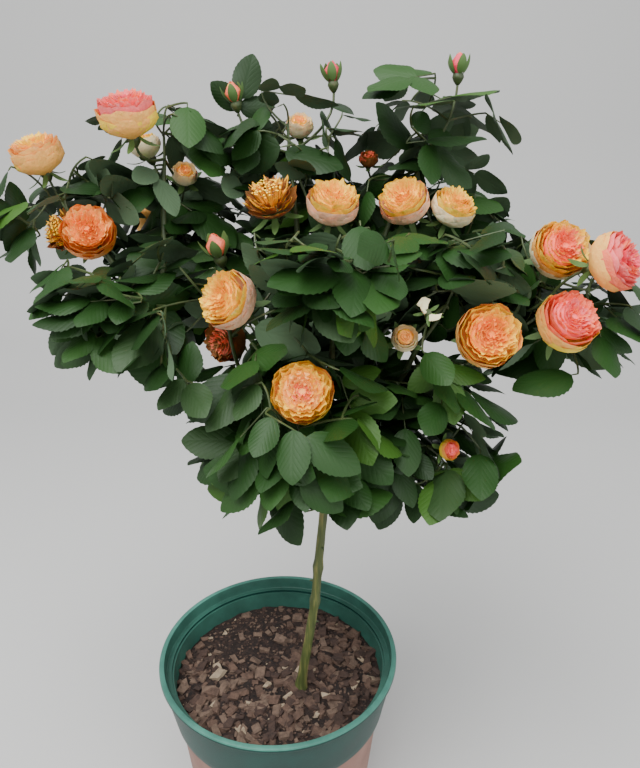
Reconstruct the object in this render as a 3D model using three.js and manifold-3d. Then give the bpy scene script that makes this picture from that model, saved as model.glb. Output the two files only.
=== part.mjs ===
// A potted rose bush grown as a small standard: one slender stem with a knotted
// head, thin boughs, leafy masses with their roses, and a pot in two colours.
// Millimetres, +Z up. The origin is the centre of the pot's flat underside, and
// -Y is the front, the side where a pale rose hangs low in the middle.

import * as THREE from 'three';
import { mergeVertices } from 'three/addons/utils/BufferGeometryUtils.js';
import Module from 'manifold-3d';

const wasm = await Module();
wasm.setup();

// Clearance between neighbouring pieces
const GAP = 0.3;

// Corners nearer to each other than this are one corner
const FINEST_EDGE = 0.001;

// Edges shorter than this are left out of a fused piece
const SLIVER = 0.01;

// Pot: a tapered body, and a deep collar with a rolled lip that caps it
const POT_HEIGHT = 205;
const RIM_RADIUS = 125;
const FOOT_RADIUS = 93;
const BODY_TOP_RADIUS = 113;
const BODY_TOP = 189.5;
const WALL = 2.2;
const FLOOR = 4;
const FLANGE = 4;
const COLLAR_DEPTH = 59;
const COLLAR_FOOT_RADIUS = 112.4;
const LIP_WIDTH = 5.6;
const LIP_DEPTH = 5;
const LIP_ROUND = 1.6;
const INSIDE_DRAFT = 0.8;
const EDGE_ROUND = 1;
const LEDGE_TOP = 192;
const POT_SEGMENTS = 36;

// Potting mix and the bark chips on it
const SOIL_LEVEL = 172;
const CHIP_COUNT = 26;
const CHIP_SIZE = { long: 15, wide: 9, thick: 6 };
const CHIP_FIELD = 97;
const CHIP_FREE_RADIUS = 17;
const CHIP_SCALE = { least: 0.7, range: 0.5 };
const CHIP_TILT = 0.35;
const CHIP_SEED = 11;

// Stem: its route from the potting mix to the head, and its thickness
const STEM_ROUTE = [
  [23.4, -19.5, SOIL_LEVEL],
  [31, -20, 225],
  [39, -20, 282],
  [42, -20.5, 320],
  [46, -20, 369],
  [50, -18, 422],
];
const STEM_FOOT_RADIUS = 5.2;
const STEM_TOP_RADIUS = 4.2;
const STEM_FLARE = { extra: 2.6, height: 9 };
const STEM_KNOTS = { fractions: [0.44, 0.6], extra: 1, height: 5 };
const STEM_SIDES = 8;
const STEM_STEPS = 18;
const HEAD_RADIUS = 10;
const GROUND_CUT = { width: 60, depth: 20 };

// Boughs: thickness where they start and at their tips
const BOUGH_RADIUS = { fromHead: 4.4, fromBough: 3.2, tip: 2.1 };
const BOUGH_SIDES = 5;
const BOUGH_STEPS = 5;
const BOUGH_END = 0.62;
const BOUGH_BEND = { outwards: 0.62, up: 0.4 };

// Growth inside a leafy mass, as shares of its reach
const SHOOT_TOP = 0.2;
const SHOOT_STEPS = 3;
const SHOOT_SIDES = 5;
const ARRIVAL_BEND = 0.4;
const STALK_STEPS = 2;
const STALK_ROOTS = [0.6, 0.8, 0.95, 0.45];
const TWIG_RADIUS = { shoot: 1.9, twig: 1.3, stalk: 1 };
const TWIG_SIDES = 3;
const TWIG_ROOT = 0.15;
const TWIG_PLACE = { middle: 0.65, rise: 0.3 };
const LEAVES_PER_MASS = 7;
const LEAF_PLACES = 20;
const LEAF_SHELLS = [0.76, 0.6, 0.44, 0.28];
const LEAF_SIZES = [1, 0.86, 0.74, 0.62];
const LEAF_TURNS = 6;
const FEWEST_LEAFLETS = 4;
const GOLDEN_ANGLE = Math.PI * (3 - Math.sqrt(5));
const SPREAD = { turn: 0.7549, height: 0.5698, range: 1.8 };
const FIRST_SEED = 101;

// One compound leaf: a stalk with two pairs of leaflets and one at the tip, all a
// little larger than life, as there are fewer of them
const LEAFLET = { length: 54, width: 0.7, widest: 0.46, thickness: 0.03, fold: 0.06, droop: 0.1, roll: 0.15 };
const LEAF_PAIRS = [
  { at: 8, size: 0.76, spread: 1.35 },
  { at: 27, size: 0.88, spread: 1 },
];
const LEAF_TIP = 36;
const LOWEST_FACING = 0.15;
const FACING_LIFT = 0.5;
const TIP_LIFT = 0.1;

// Roses, as shares of their width: rings of a turned outline from base to crown
const ROSE_OUTLINES = {
  full: [[0, -0.36], [0.22, -0.34], [0.48, -0.06], [0.46, 0.14], [0.26, 0.24], [0, 0.19]],
  half: [[0, -0.5], [0.24, -0.46], [0.48, -0.05], [0.36, 0.42], [0, 0.36]],
  bud: [[0, -0.8], [0.26, -0.7], [0.34, -0.42], [0.5, -0.1], [0.34, 0.5], [0, 0.8]],
};
const ROSE_SIDES = { full: 6, half: 5, bud: 5 };
const ROSE_SEAT = 0.7;

// Leafy masses: each fills a ball round its centre, less what lies nearer to
// another, on a bough that starts at a share of the way along another limb.
// A rose is its form, its centre, its width and the way that it faces.
const MASSES = [
  {
    name: 'left_outer', centre: [-172, 12, 655], reach: 68, from: 'trunk', fork: 1,
    roses: [
      ['full', [-194, 22, 703], 42, [-0.2, -0.3, 0.9]],
      ['full', [-152, 4, 640], 44, [0.2, -0.9, 0.5]],
      ['half', [-179, 16, 640], 34, [-0.5, -0.7, 0.4]],
    ],
  },
  {
    name: 'centre_front', centre: [55, -80, 616], reach: 76, from: 'trunk', fork: 1, roses: [],
  },
  {
    name: 'centre_top', centre: [16, 52, 712], reach: 76, from: 'trunk', fork: 1,
    roses: [
      ['bud', [-43, 75, 758], 14, [-0.3, -0.1, 0.9]],
      ['bud', [55, 78, 768], 16, [-0.1, 0, 1]],
      ['half', [25, 92, 727], 27, [0, -0.5, 0.8]],
      ['full', [2, 10, 667], 43, [-0.2, -0.5, 0.8]],
      ['full', [55, 8, 664], 43, [0.1, -0.5, 0.8]],
    ],
  },
  {
    name: 'right_front', centre: [150, -50, 598], reach: 80, from: 'trunk', fork: 1,
    roses: [
      ['full', [169, -90, 575], 46, [0, -0.9, 0.4]],
      ['half', [110, -68, 567], 22, [0, -0.8, 0.5]],
    ],
  },
  {
    name: 'back_centre', centre: [40, 120, 604], reach: 90, from: 'trunk', fork: 1,
    roses: [
      ['full', [22, 196, 640], 46, [-0.1, 0.8, 0.5]],
      ['full', [66, 190, 560], 42, [0.2, 0.9, 0.3]],
      ['bud', [58, 172, 682], 16, [0.1, 0.4, 0.9]],
    ],
  },
  {
    name: 'low_front', centre: [24, -74, 490], reach: 88, from: 'trunk', fork: 1,
    roses: [
      ['full', [31, -114, 539], 45, [0, -0.9, 0.45]],
    ],
  },
  {
    name: 'low_right', centre: [122, -40, 474], reach: 88, from: 'trunk', fork: 1,
    roses: [
      ['half', [150, -74, 474], 18, [0.4, -0.8, 0.3]],
    ],
  },
  {
    name: 'back_low', centre: [46, 64, 500], reach: 82, from: 'back_centre', fork: 0.12,
    roses: [
      ['full', [30, 128, 498], 40, [-0.2, 0.9, 0.3]],
    ],
  },
  {
    name: 'left_front', centre: [-28, -66, 575], reach: 80, from: 'left_outer', fork: 0.3,
    roses: [
      ['full', [-26, -71, 598], 44, [-0.55, -0.7, 0.45]],
      ['full', [-35, -35, 556], 36, [-0.5, -0.7, 0]],
      ['bud', [-40, -20, 629], 18, [-0.2, -0.2, 0.9]],
    ],
  },
  {
    name: 'left_low', centre: [-108, -52, 590], reach: 72, from: 'left_outer', fork: 0.52, roses: [],
  },
  {
    name: 'left_top', centre: [-92, 48, 706], reach: 66, from: 'left_outer', fork: 0.72,
    roses: [
      ['full', [-109, 1, 733], 46, [-0.1, -0.3, 0.95]],
      ['half', [-119, 88, 710], 30, [-0.3, -0.1, 0.9]],
      ['half', [-80, 68, 685], 24, [0.2, -0.7, 0.6]],
    ],
  },
  {
    name: 'right_top', centre: [138, 62, 698], reach: 90, from: 'centre_top', fork: 0.42,
    roses: [
      ['bud', [166, 75, 774], 16, [0, 0, 1]],
      ['half', [90, 92, 698], 19, [0, -0.5, 0.8]],
      ['full', [116, 21, 664], 42, [-0.3, -0.6, 0.7]],
      ['full', [160, 24, 659], 38, [0.3, -0.5, 0.8]],
    ],
  },
  {
    name: 'right_outer', centre: [238, -28, 584], reach: 80, from: 'right_front', fork: 0.55,
    roses: [
      ['full', [238, -26, 629], 46, [0.1, -0.8, 0.5]],
      ['full', [266, -66, 626], 44, [0.7, -0.6, 0.4]],
      ['full', [234, -71, 581], 46, [0.2, -0.7, 0.6]],
    ],
  },
  {
    name: 'back_left', centre: [-90, 100, 600], reach: 86, from: 'back_centre', fork: 0.38,
    roses: [
      ['full', [-132, 148, 640], 44, [-0.5, 0.7, 0.5]],
      ['half', [-84, 158, 566], 30, [-0.2, 0.9, 0.3]],
    ],
  },
  {
    name: 'back_right', centre: [168, 95, 600], reach: 88, from: 'back_centre', fork: 0.5,
    roses: [
      ['full', [196, 158, 630], 44, [0.3, 0.8, 0.5]],
      ['half', [222, 108, 572], 32, [0.8, 0.4, 0.4]],
      ['full', [148, 168, 590], 40, [0, 0.9, 0.4]],
    ],
  },
];

// Finishes
const FINISHES = {
  collar_green: { color: 0x2b5c54, roughness: 0.42 },
  body_beige: { color: 0xa07a6c, roughness: 0.6 },
  bark_mix: { color: 0x5b4335, roughness: 0.95 },
  green_stem: { color: 0x5f6a33, roughness: 0.7 },
  rose_leaf: { color: 0x2f5430, roughness: 0.55 },
};

function vec(point) {
  return new THREE.Vector3(...point);
}

// Numbers from 0 to 1 that repeat for a seed
function seeded(seed) {
  let state = seed;
  return () => {
    state = (Math.imul(state, 1664525) + 1013904223) >>> 0;
    return state / 4294967296;
  };
}

// A closed geometry as a solid, with its corners moved onto the finest grid, shared
// corners merged and flat triangles left out
function solid(geometry) {
  geometry.deleteAttribute('normal');
  geometry.deleteAttribute('uv');
  const places = geometry.attributes.position.array;
  places.forEach((value, i) => {
    places[i] = Math.round(value / FINEST_EDGE) * FINEST_EDGE;
  });
  const shape = mergeVertices(geometry, FINEST_EDGE);
  const corners = shape.index.array;
  const triVerts = [];
  for (let i = 0; i < corners.length; i += 3) {
    const [a, b, c] = corners.slice(i, i + 3);
    if (a !== b && b !== c && c !== a) triVerts.push(a, b, c);
  }
  const vertProperties = shape.attributes.position.array;
  const faces = new wasm.Mesh({ numProp: 3, vertProperties, triVerts: Uint32Array.from(triVerts) });
  return new wasm.Manifold(faces);
}

function join(pieces) {
  return pieces.reduce((whole, piece) => whole.add(piece));
}

function geometryOf(shape) {
  const { vertProperties, triVerts } = shape.getMesh();
  const geometry = new THREE.BufferGeometry();
  geometry.setAttribute('position', new THREE.BufferAttribute(vertProperties, 3));
  geometry.setIndex(new THREE.BufferAttribute(triVerts, 1));
  return geometry;
}

function largest(shape) {
  const pieces = shape.decompose();
  return pieces.reduce((best, piece) => (piece.volume() > best.volume() ? piece : best));
}

// The one closed piece of a joined shape, without slivers, loose scraps or sealed
// hollows, also where merged corners cut a scrap loose
function whole(shape) {
  const clean = largest(shape).simplify(SLIVER);
  return largest(solid(geometryOf(clean).toNonIndexed()));
}

function mesh(name, shape, finish) {
  const geometry = geometryOf(shape);
  geometry.computeVertexNormals();
  const material = new THREE.MeshStandardMaterial({ ...FINISHES[finish], metalness: 0 });
  const piece = new THREE.Mesh(geometry, material);
  piece.name = name;
  return piece;
}

// A solid of revolution about +Z from [radius, height] pairs
function turned(outline, segments) {
  const points = outline.map(([radius, height]) => new THREE.Vector2(radius, height));
  const geometry = new THREE.LatheGeometry(points, segments);
  geometry.rotateX(Math.PI / 2);
  return solid(geometry);
}

// A tapering limb: a cylinder whose rings are moved onto a row of places
function limb(places, radiusAt, sides) {
  const steps = places.length - 1;
  const tube = new THREE.CylinderGeometry(1, 1, 1, sides, steps);
  const corners = tube.attributes.position;
  const chord = places[steps].clone().sub(places[0]);
  const aside = new THREE.Vector3(0, 1, 0);
  if (Math.abs(chord.x) < Math.abs(chord.y)) aside.set(1, 0, 0);
  for (let i = 0; i < corners.count; i++) {
    const ring = Math.round((corners.getY(i) + 0.5) * steps);
    const before = places[Math.max(ring - 1, 0)];
    const along = places[Math.min(ring + 1, steps)].clone().sub(before).normalize();
    const normal = new THREE.Vector3().crossVectors(aside, along).normalize();
    const across = new THREE.Vector3().crossVectors(along, normal);
    const radius = radiusAt(ring / steps);
    const place = places[ring].clone();
    place.addScaledVector(across, corners.getX(i) * radius);
    place.addScaledVector(normal, corners.getZ(i) * radius);
    corners.setXYZ(i, place.x, place.y, place.z);
  }
  return solid(tube);
}

// The place at a share of the way along a row of places
function placeOn(places, share) {
  const steps = places.length - 1;
  const ring = Math.min(Math.floor(share * steps), steps - 1);
  return places[ring].clone().lerp(places[ring + 1], share * steps - ring);
}

// A curved row of places that arrives at its end in a given direction
function bentPlaces(start, end, arriving, steps) {
  const bend = end.clone().addScaledVector(arriving, -ARRIVAL_BEND * end.distanceTo(start));
  return new THREE.QuadraticBezierCurve3(start, bend, end).getSpacedPoints(steps);
}

function tapered(from, to) {
  return (share) => THREE.MathUtils.lerp(from, to, share);
}

// Pot

function bodyRadius(height) {
  return THREE.MathUtils.lerp(FOOT_RADIUS, BODY_TOP_RADIUS, height / BODY_TOP);
}

// Tapered shell with a flat floor, and a flange at the top that carries the collar
function potBody() {
  const flangeFoot = BODY_TOP - WALL;
  const flangeRadius = BODY_TOP_RADIUS + FLANGE;
  const outline = [
    [0, 0],
    [FOOT_RADIUS - EDGE_ROUND, 0],
    [bodyRadius(EDGE_ROUND), EDGE_ROUND],
    [bodyRadius(flangeFoot), flangeFoot],
    [flangeRadius, flangeFoot],
    [flangeRadius, BODY_TOP],
    [bodyRadius(BODY_TOP) - WALL, BODY_TOP],
    [bodyRadius(FLOOR) - WALL, FLOOR],
    [0, FLOOR],
  ];
  return turned(outline, POT_SEGMENTS);
}

// Rolled lip, flared skirt, and the short inner wall with a ledge that sits on the body
function potCollar() {
  const foot = POT_HEIGHT - COLLAR_DEPTH;
  const lipFoot = POT_HEIGHT - LIP_DEPTH;
  const skirtTop = RIM_RADIUS - WALL;
  const inside = RIM_RADIUS - LIP_WIDTH;
  const seat = BODY_TOP + GAP;
  const skirtShare = (height) => (height - foot) / (lipFoot - foot);
  const skirtAt = (height) => THREE.MathUtils.lerp(COLLAR_FOOT_RADIUS, skirtTop, skirtShare(height));
  const outline = [
    [BODY_TOP_RADIUS, seat],
    [skirtAt(seat) - WALL, seat],
    [COLLAR_FOOT_RADIUS - WALL, foot],
    [COLLAR_FOOT_RADIUS - EDGE_ROUND, foot],
    [skirtAt(foot + EDGE_ROUND), foot + EDGE_ROUND],
    [skirtTop, lipFoot],
    [RIM_RADIUS, lipFoot + EDGE_ROUND],
    [RIM_RADIUS, POT_HEIGHT - LIP_ROUND],
    [RIM_RADIUS - EDGE_ROUND, POT_HEIGHT],
    [inside + EDGE_ROUND, POT_HEIGHT],
    [inside, POT_HEIGHT - LIP_ROUND],
    [inside - INSIDE_DRAFT, LEDGE_TOP],
    [BODY_TOP_RADIUS, LEDGE_TOP],
    [BODY_TOP_RADIUS, seat],
  ];
  return turned(outline, POT_SEGMENTS);
}

// Potting mix that fills the body, with bark chips bedded in its top
function pottingMix(stemFoot) {
  const random = seeded(CHIP_SEED);
  const foot = FLOOR + GAP;
  const pieces = [turned([
    [0, foot],
    [bodyRadius(foot) - WALL - GAP, foot],
    [bodyRadius(SOIL_LEVEL) - WALL - GAP, SOIL_LEVEL],
    [0, SOIL_LEVEL],
  ], POT_SEGMENTS)];
  for (let i = 0; i < CHIP_COUNT; i++) {
    const away = CHIP_FIELD * Math.sqrt((i + 0.5) / CHIP_COUNT);
    const around = i * GOLDEN_ANGLE;
    const place = new THREE.Vector3(away * Math.cos(around), away * Math.sin(around), SOIL_LEVEL);
    const scale = CHIP_SCALE.least + CHIP_SCALE.range * random();
    const tilted = () => CHIP_TILT * (2 * random() - 1);
    const tilt = new THREE.Euler(tilted(), tilted(), Math.PI * random());
    if (place.distanceTo(stemFoot) < CHIP_FREE_RADIUS) continue;
    const chip = new THREE.BoxGeometry(CHIP_SIZE.long, CHIP_SIZE.wide, CHIP_SIZE.thick);
    chip.applyMatrix4(new THREE.Matrix4().compose(
      place, new THREE.Quaternion().setFromEuler(tilt), new THREE.Vector3(scale, scale, scale)));
    pieces.push(solid(chip));
  }
  return join(pieces);
}

// Trunk

function stemRadius(share, length) {
  const flare = STEM_FLARE.extra * Math.exp(-share * length / STEM_FLARE.height);
  const knot = (at) => STEM_KNOTS.extra * Math.exp(-(((share - at) * length / STEM_KNOTS.height) ** 2));
  const knots = STEM_KNOTS.fractions.reduce((sum, at) => sum + knot(at), 0);
  return THREE.MathUtils.lerp(STEM_FOOT_RADIUS, STEM_TOP_RADIUS, share) + flare + knots;
}

// The stem, cut flat on the potting mix, with the knot of its head where the boughs
// fork. Grown by a clearance, it is what the boughs are cut by.
function trunk(places, length, grown) {
  const stem = limb(places, (share) => stemRadius(share, length) + grown, STEM_SIDES);
  const head = new THREE.IcosahedronGeometry(HEAD_RADIUS + grown, 1);
  head.translate(...STEM_ROUTE.at(-1));
  const below = new THREE.BoxGeometry(GROUND_CUT.width, GROUND_CUT.width, GROUND_CUT.depth);
  below.translate(STEM_ROUTE[0][0], STEM_ROUTE[0][1], SOIL_LEVEL + GAP - GROUND_CUT.depth / 2);
  return stem.add(solid(head)).subtract(solid(below));
}

// Boughs

// A bough leaves its parent outwards, bends up, and ends inside its mass's ball
function boughPlaces(mass, parent) {
  const start = placeOn(parent, mass.fork);
  const end = vec(mass.centre);
  end.addScaledVector(start.clone().sub(end).normalize(), BOUGH_END * mass.reach);
  const bend = new THREE.Vector3(
    THREE.MathUtils.lerp(start.x, end.x, BOUGH_BEND.outwards),
    THREE.MathUtils.lerp(start.y, end.y, BOUGH_BEND.outwards),
    THREE.MathUtils.lerp(start.z, end.z, BOUGH_BEND.up),
  );
  return new THREE.QuadraticBezierCurve3(start, bend, end).getSpacedPoints(BOUGH_STEPS);
}

// The same row of places with its tip carried on by the clearance
function lengthened(places) {
  const tip = places.at(-1);
  const onward = tip.clone().sub(places.at(-2)).normalize();
  return [...places.slice(0, -1), tip.clone().addScaledVector(onward, GAP)];
}

// Foliage

// How much nearer a point is to this mass's ball than to any other, in mm
function clearance(mass, point) {
  const power = (other) => vec(other.centre).distanceToSquared(point) - other.reach ** 2;
  const own = power(mass);
  const margins = MASSES.filter((other) => other !== mass).map((other) => (
    (power(other) - own) / (2 * vec(mass.centre).distanceTo(vec(other.centre)))
  ));
  return Math.min(...margins);
}

function inSpace(mass, point) {
  const inBall = vec(mass.centre).distanceTo(point) < mass.reach;
  return inBall && clearance(mass, point) > GAP / 2;
}

function touches(shape, other) {
  return !shape.intersect(other).isEmpty();
}

function twigLimb(places, radiusAt) {
  return limb(places, radiusAt, TWIG_SIDES);
}

// The six corners of a leaflet's blade: root, tip, two sides, top and bottom
function leaflet(root, along, normal, length) {
  const across = new THREE.Vector3().crossVectors(normal, along).normalize();
  const at = (forward, side, up) => root.clone()
    .addScaledVector(along, forward * length)
    .addScaledVector(across, side * length)
    .addScaledVector(normal, up * length);
  const { widest, width, fold, thickness, droop } = LEAFLET;
  return [
    at(0, 0, 0),
    at(1, 0, -droop),
    at(widest, width / 2, fold),
    at(widest, -width / 2, fold),
    at(widest, 0, thickness / 2),
    at(widest, 0, -thickness / 2),
  ];
}

// The eight-faced blade of a leaflet: an octahedron with its corners moved
function blade([root, tip, left, right, top, bottom]) {
  const geometry = new THREE.OctahedronGeometry(1, 0);
  const position = geometry.attributes.position;
  for (let i = 0; i < position.count; i++) {
    let corner = position.getZ(i) > 0.5 ? top : bottom;
    if (position.getX(i) > 0.5) corner = tip;
    if (position.getX(i) < -0.5) corner = root;
    if (position.getY(i) > 0.5) corner = left;
    if (position.getY(i) < -0.5) corner = right;
    position.setXYZ(i, corner.x, corner.y, corner.z);
  }
  return solid(geometry);
}

// A compound leaf laid against the mass's outer shell and facing out, on a twig from
// the shoot, or null where it would leave the space or touch what has grown
function compoundLeaf(mass, root, outward, { shell, size, turn }, { grown, limbs }) {
  const normal = new THREE.Vector3(outward.x, outward.y, Math.max(outward.z, LOWEST_FACING)).normalize();
  normal.z += FACING_LIFT;
  normal.normalize();
  const along = new THREE.Vector3().crossVectors(new THREE.Vector3(-outward.y, outward.x, TIP_LIFT), normal);
  along.normalize().applyAxisAngle(normal, turn);
  const middle = vec(mass.centre).addScaledVector(outward, shell * mass.reach);
  const half = (LEAF_TIP + LEAFLET.length) / 2;
  const placeAt = (far) => middle.clone().addScaledVector(along, (far - half) * size);
  const twig = [root, placeAt(0), placeAt(LEAF_TIP)];
  const free = twigLimb([root.clone().lerp(twig[1], TWIG_ROOT), ...twig.slice(1)], () => TWIG_RADIUS.stalk);
  const inside = (corners) => corners.every((corner) => inSpace(mass, corner));
  const fits = (corners) => inside(corners) && !touches(grown, blade(corners));
  const tip = leaflet(placeAt(LEAF_TIP), along, normal, LEAFLET.length * size);
  if (!twig.every((place) => clearance(mass, place) > TWIG_RADIUS.twig + GAP)) return null;
  if (!fits(tip) || touches(grown, free)) return null;
  if (touches(limbs, twigLimb(twig, () => TWIG_RADIUS.twig))) return null;
  const leaflets = [tip];
  for (const pair of LEAF_PAIRS) {
    for (const side of [1, -1]) {
      const direction = along.clone().applyAxisAngle(normal, side * pair.spread);
      const facing = normal.clone().applyAxisAngle(direction, side * LEAFLET.roll);
      const corners = leaflet(placeAt(pair.at), direction, facing, LEAFLET.length * pair.size * size);
      if (fits(corners)) leaflets.push(corners);
    }
  }
  return leaflets.length < FEWEST_LEAFLETS ? null : { twig, leaflets };
}

// The fullest of several turns of a leaf, as far out and as large as it fits
function growLeaf(mass, root, outward, firstTurn, around) {
  for (const size of LEAF_SIZES) {
    for (const shell of LEAF_SHELLS) {
      const turns = Array.from({ length: LEAF_TURNS }, (_, i) => firstTurn + i * GOLDEN_ANGLE);
      const leaves = turns.map((turn) => compoundLeaf(mass, root, outward, { shell, size, turn }, around));
      const fullest = leaves.filter(Boolean).sort((a, b) => b.leaflets.length - a.leaflets.length)[0];
      if (fullest) return fullest;
    }
  }
  return null;
}

// The stalk that carries a rose, from the first place on the shoot that leaves it
// clear of the limbs
function roseStalk([form, place, width, facing], shoot, limbs) {
  const up = vec(facing).normalize();
  const end = vec(place).addScaledVector(up, ROSE_SEAT * ROSE_OUTLINES[form][0][1] * width);
  const stalks = STALK_ROOTS.map((share) => bentPlaces(placeOn(shoot, share), end, up, STALK_STEPS));
  return stalks.find((stalk) => !touches(limbs, twigLimb(stalk, () => TWIG_RADIUS.twig)));
}

function rose([form, place, width, facing]) {
  const points = ROSE_OUTLINES[form].map((point) => new THREE.Vector2(...point).multiplyScalar(width));
  const geometry = new THREE.LatheGeometry(points, ROSE_SIDES[form]);
  const turn = new THREE.Quaternion().setFromUnitVectors(new THREE.Vector3(0, 1, 0), vec(facing).normalize());
  geometry.applyQuaternion(turn);
  geometry.translate(...place);
  return solid(geometry);
}

// Directions spread evenly over a ball, all but straight down
function spreadDirection(i, firstShare) {
  const height = 1 - SPREAD.range * ((firstShare + i * SPREAD.height) % 1);
  const angle = 2 * Math.PI * (firstShare + i * SPREAD.turn);
  const flat = Math.sqrt(1 - height ** 2);
  return new THREE.Vector3(flat * Math.cos(angle), flat * Math.sin(angle), height);
}

// One leafy mass: shoot, rose stalks, roses, and leaves on twigs that spread from
// the shoot, all fused together
function foliage(mass, bough, seed, limbs) {
  const random = seeded(seed);
  const up = new THREE.Vector3(0, 0, 1);
  const top = vec(mass.centre).addScaledVector(up, SHOOT_TOP * mass.reach);
  const shoot = bentPlaces(bough.at(-1), top, up, SHOOT_STEPS);
  const twigRadius = tapered(TWIG_RADIUS.twig, TWIG_RADIUS.stalk);
  let grown = join([
    limb(shoot, tapered(TWIG_RADIUS.shoot, TWIG_RADIUS.twig), SHOOT_SIDES).subtract(limbs),
    ...mass.roses.map((bloom) => twigLimb(roseStalk(bloom, shoot, limbs), twigRadius)),
    ...mass.roses.map(rose),
  ]);
  const firstShare = random();
  let leaves = 0;
  for (let i = 0; i < LEAF_PLACES && leaves < LEAVES_PER_MASS; i++) {
    const outward = spreadDirection(i, firstShare);
    const root = placeOn(shoot, TWIG_PLACE.middle + TWIG_PLACE.rise * outward.z);
    const leaf = growLeaf(mass, root, outward, 2 * Math.PI * random(), { grown: grown.add(limbs), limbs });
    if (!leaf) continue;
    grown = join([grown, twigLimb(leaf.twig, twigRadius), ...leaf.leaflets.map(blade)]);
    leaves += 1;
  }
  return whole(grown);
}

// Assembly

const bush = new THREE.Group();
const stemCurve = new THREE.CatmullRomCurve3(STEM_ROUTE.map(vec));
const stemPlaces = stemCurve.getSpacedPoints(STEM_STEPS);

bush.add(mesh('pot_body', potBody(), 'body_beige'));
bush.add(mesh('pot_collar', potCollar(), 'collar_green'));
bush.add(mesh('potting_mix', pottingMix(vec(STEM_ROUTE[0])), 'bark_mix'));
bush.add(mesh('trunk', trunk(stemPlaces, stemCurve.getLength(), 0), 'green_stem'));

// Each bough is cut clear of the limbs before it, so that they meet in tight forks
const routes = { trunk: stemPlaces };
let limbs = trunk(stemPlaces, stemCurve.getLength(), GAP);
for (const mass of MASSES) {
  const places = boughPlaces(mass, routes[mass.from]);
  const base = mass.from === 'trunk' ? BOUGH_RADIUS.fromHead : BOUGH_RADIUS.fromBough;
  const radiusAt = tapered(base, BOUGH_RADIUS.tip);
  const bough = limb(places, radiusAt, BOUGH_SIDES).subtract(limbs);
  bush.add(mesh(`bough_${mass.name}`, whole(bough), 'green_stem'));
  limbs = limbs.add(limb(lengthened(places), (share) => radiusAt(share) + GAP, BOUGH_SIDES));
  routes[mass.name] = places;
}

MASSES.forEach((mass, i) => {
  const shape = foliage(mass, routes[mass.name], FIRST_SEED + i, limbs);
  bush.add(mesh(`foliage_${mass.name}`, shape, 'rose_leaf'));
});

export default bush;
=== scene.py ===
# Looks of a potted rose bush grown as a small standard: a pot in two colours,
# a slender green stem, and a crown of leaves and roses grown by a seeded rule.
# Sizes are millimetres until a piece is made, and +Z is up. -Y is the front.

import math
import random

import bpy
import numpy as np
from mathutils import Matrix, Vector, noise


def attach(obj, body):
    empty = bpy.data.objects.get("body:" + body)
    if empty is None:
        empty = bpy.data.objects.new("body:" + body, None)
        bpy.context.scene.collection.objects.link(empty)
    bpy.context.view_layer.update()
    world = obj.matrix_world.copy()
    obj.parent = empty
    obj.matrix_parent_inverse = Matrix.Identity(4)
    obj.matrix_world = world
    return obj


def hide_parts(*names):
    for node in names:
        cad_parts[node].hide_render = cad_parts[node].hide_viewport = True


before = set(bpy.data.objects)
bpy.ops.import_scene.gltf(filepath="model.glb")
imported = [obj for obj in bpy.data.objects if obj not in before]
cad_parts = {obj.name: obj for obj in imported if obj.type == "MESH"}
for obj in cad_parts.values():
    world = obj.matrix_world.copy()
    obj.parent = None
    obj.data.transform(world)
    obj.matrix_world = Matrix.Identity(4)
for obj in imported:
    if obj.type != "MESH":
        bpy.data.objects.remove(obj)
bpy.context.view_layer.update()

MM = 0.001
GOLDEN_ANGLE = math.pi * (3 - math.sqrt(5))
UP = np.array([0.0, 0.0, 1.0])
CURVE_SAMPLES = 200

# Pot
POT_HEIGHT = 205
RIM_RADIUS = 125
FOOT_RADIUS = 93
BODY_TOP_RADIUS = 113
BODY_TOP = 189.5
WALL = 2.2
FLOOR = 4
FLANGE = 4
COLLAR_FOOT = 146
COLLAR_FOOT_RADIUS = 112.4
LIP_WIDTH = 5.6
LIP_DEPTH = 5
LEDGE_TOP = 192
# The collar's own dark green is the outside. The lip's paler green is a painted highlight, and the
# inside's lighter green is the pot's own green inner wall with painted light from above.
POT_GREENS_AND_PAINTED_LIGHT = {"outside": (11, 50, 44), "lip_highlight": (60, 110, 97), "inside": (46, 84, 73)}
POT_SEGMENTS = 160
SEAM = 0.3
AXIS_GAP = 0.01
# Rows of the body's outline. At the foot: how far in from its radius, and how high.
# Up the side: the height, and how deep it is cut in.
FOOT_ROWS = [(10, 0), (1.2, 0), (0.3, 0.4)]
SIDE_ROWS = [(1.6, 0), (12, 0), (12.6, 0.5), (14, 0.5), (14.6, 0)]
# Rows of the collar's outline: at its foot, at the lip's foot, at the lip's top on either
# side, and at the ledge. Each is how far in, or for the lip's inside how far out, and how far
# above that foot or ledge or below that top.
COLLAR_FOOT_ROWS = [(WALL, 0.4), (WALL / 2, 0), (0.3, 0.3)]
LIP_FOOT_ROWS = [(0.4, 0.2), (0, 1)]
LIP_OUTSIDE = [(0, 1.8), (0.5, 0.6), (1.8, 0)]
LIP_INSIDE = [(1.6, 0), (0.4, 0.5), (0, 1.6)]
LEDGE_ROWS = [(0.4, 4), (0.9, 0.6), (1.6, 0)]
SKIRT = {"start": 0.03, "rows": 8}
# The body's colours, and how dark and light the patches of the green are, by place on a ramp
BEIGE = [(0.3, (122, 91, 81)), (0.5, (134, 102, 91)), (0.7, (144, 113, 102))]
PATCHES = [(0.3, 0.85), (0.5, 1), (0.7, 1.2)]

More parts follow.
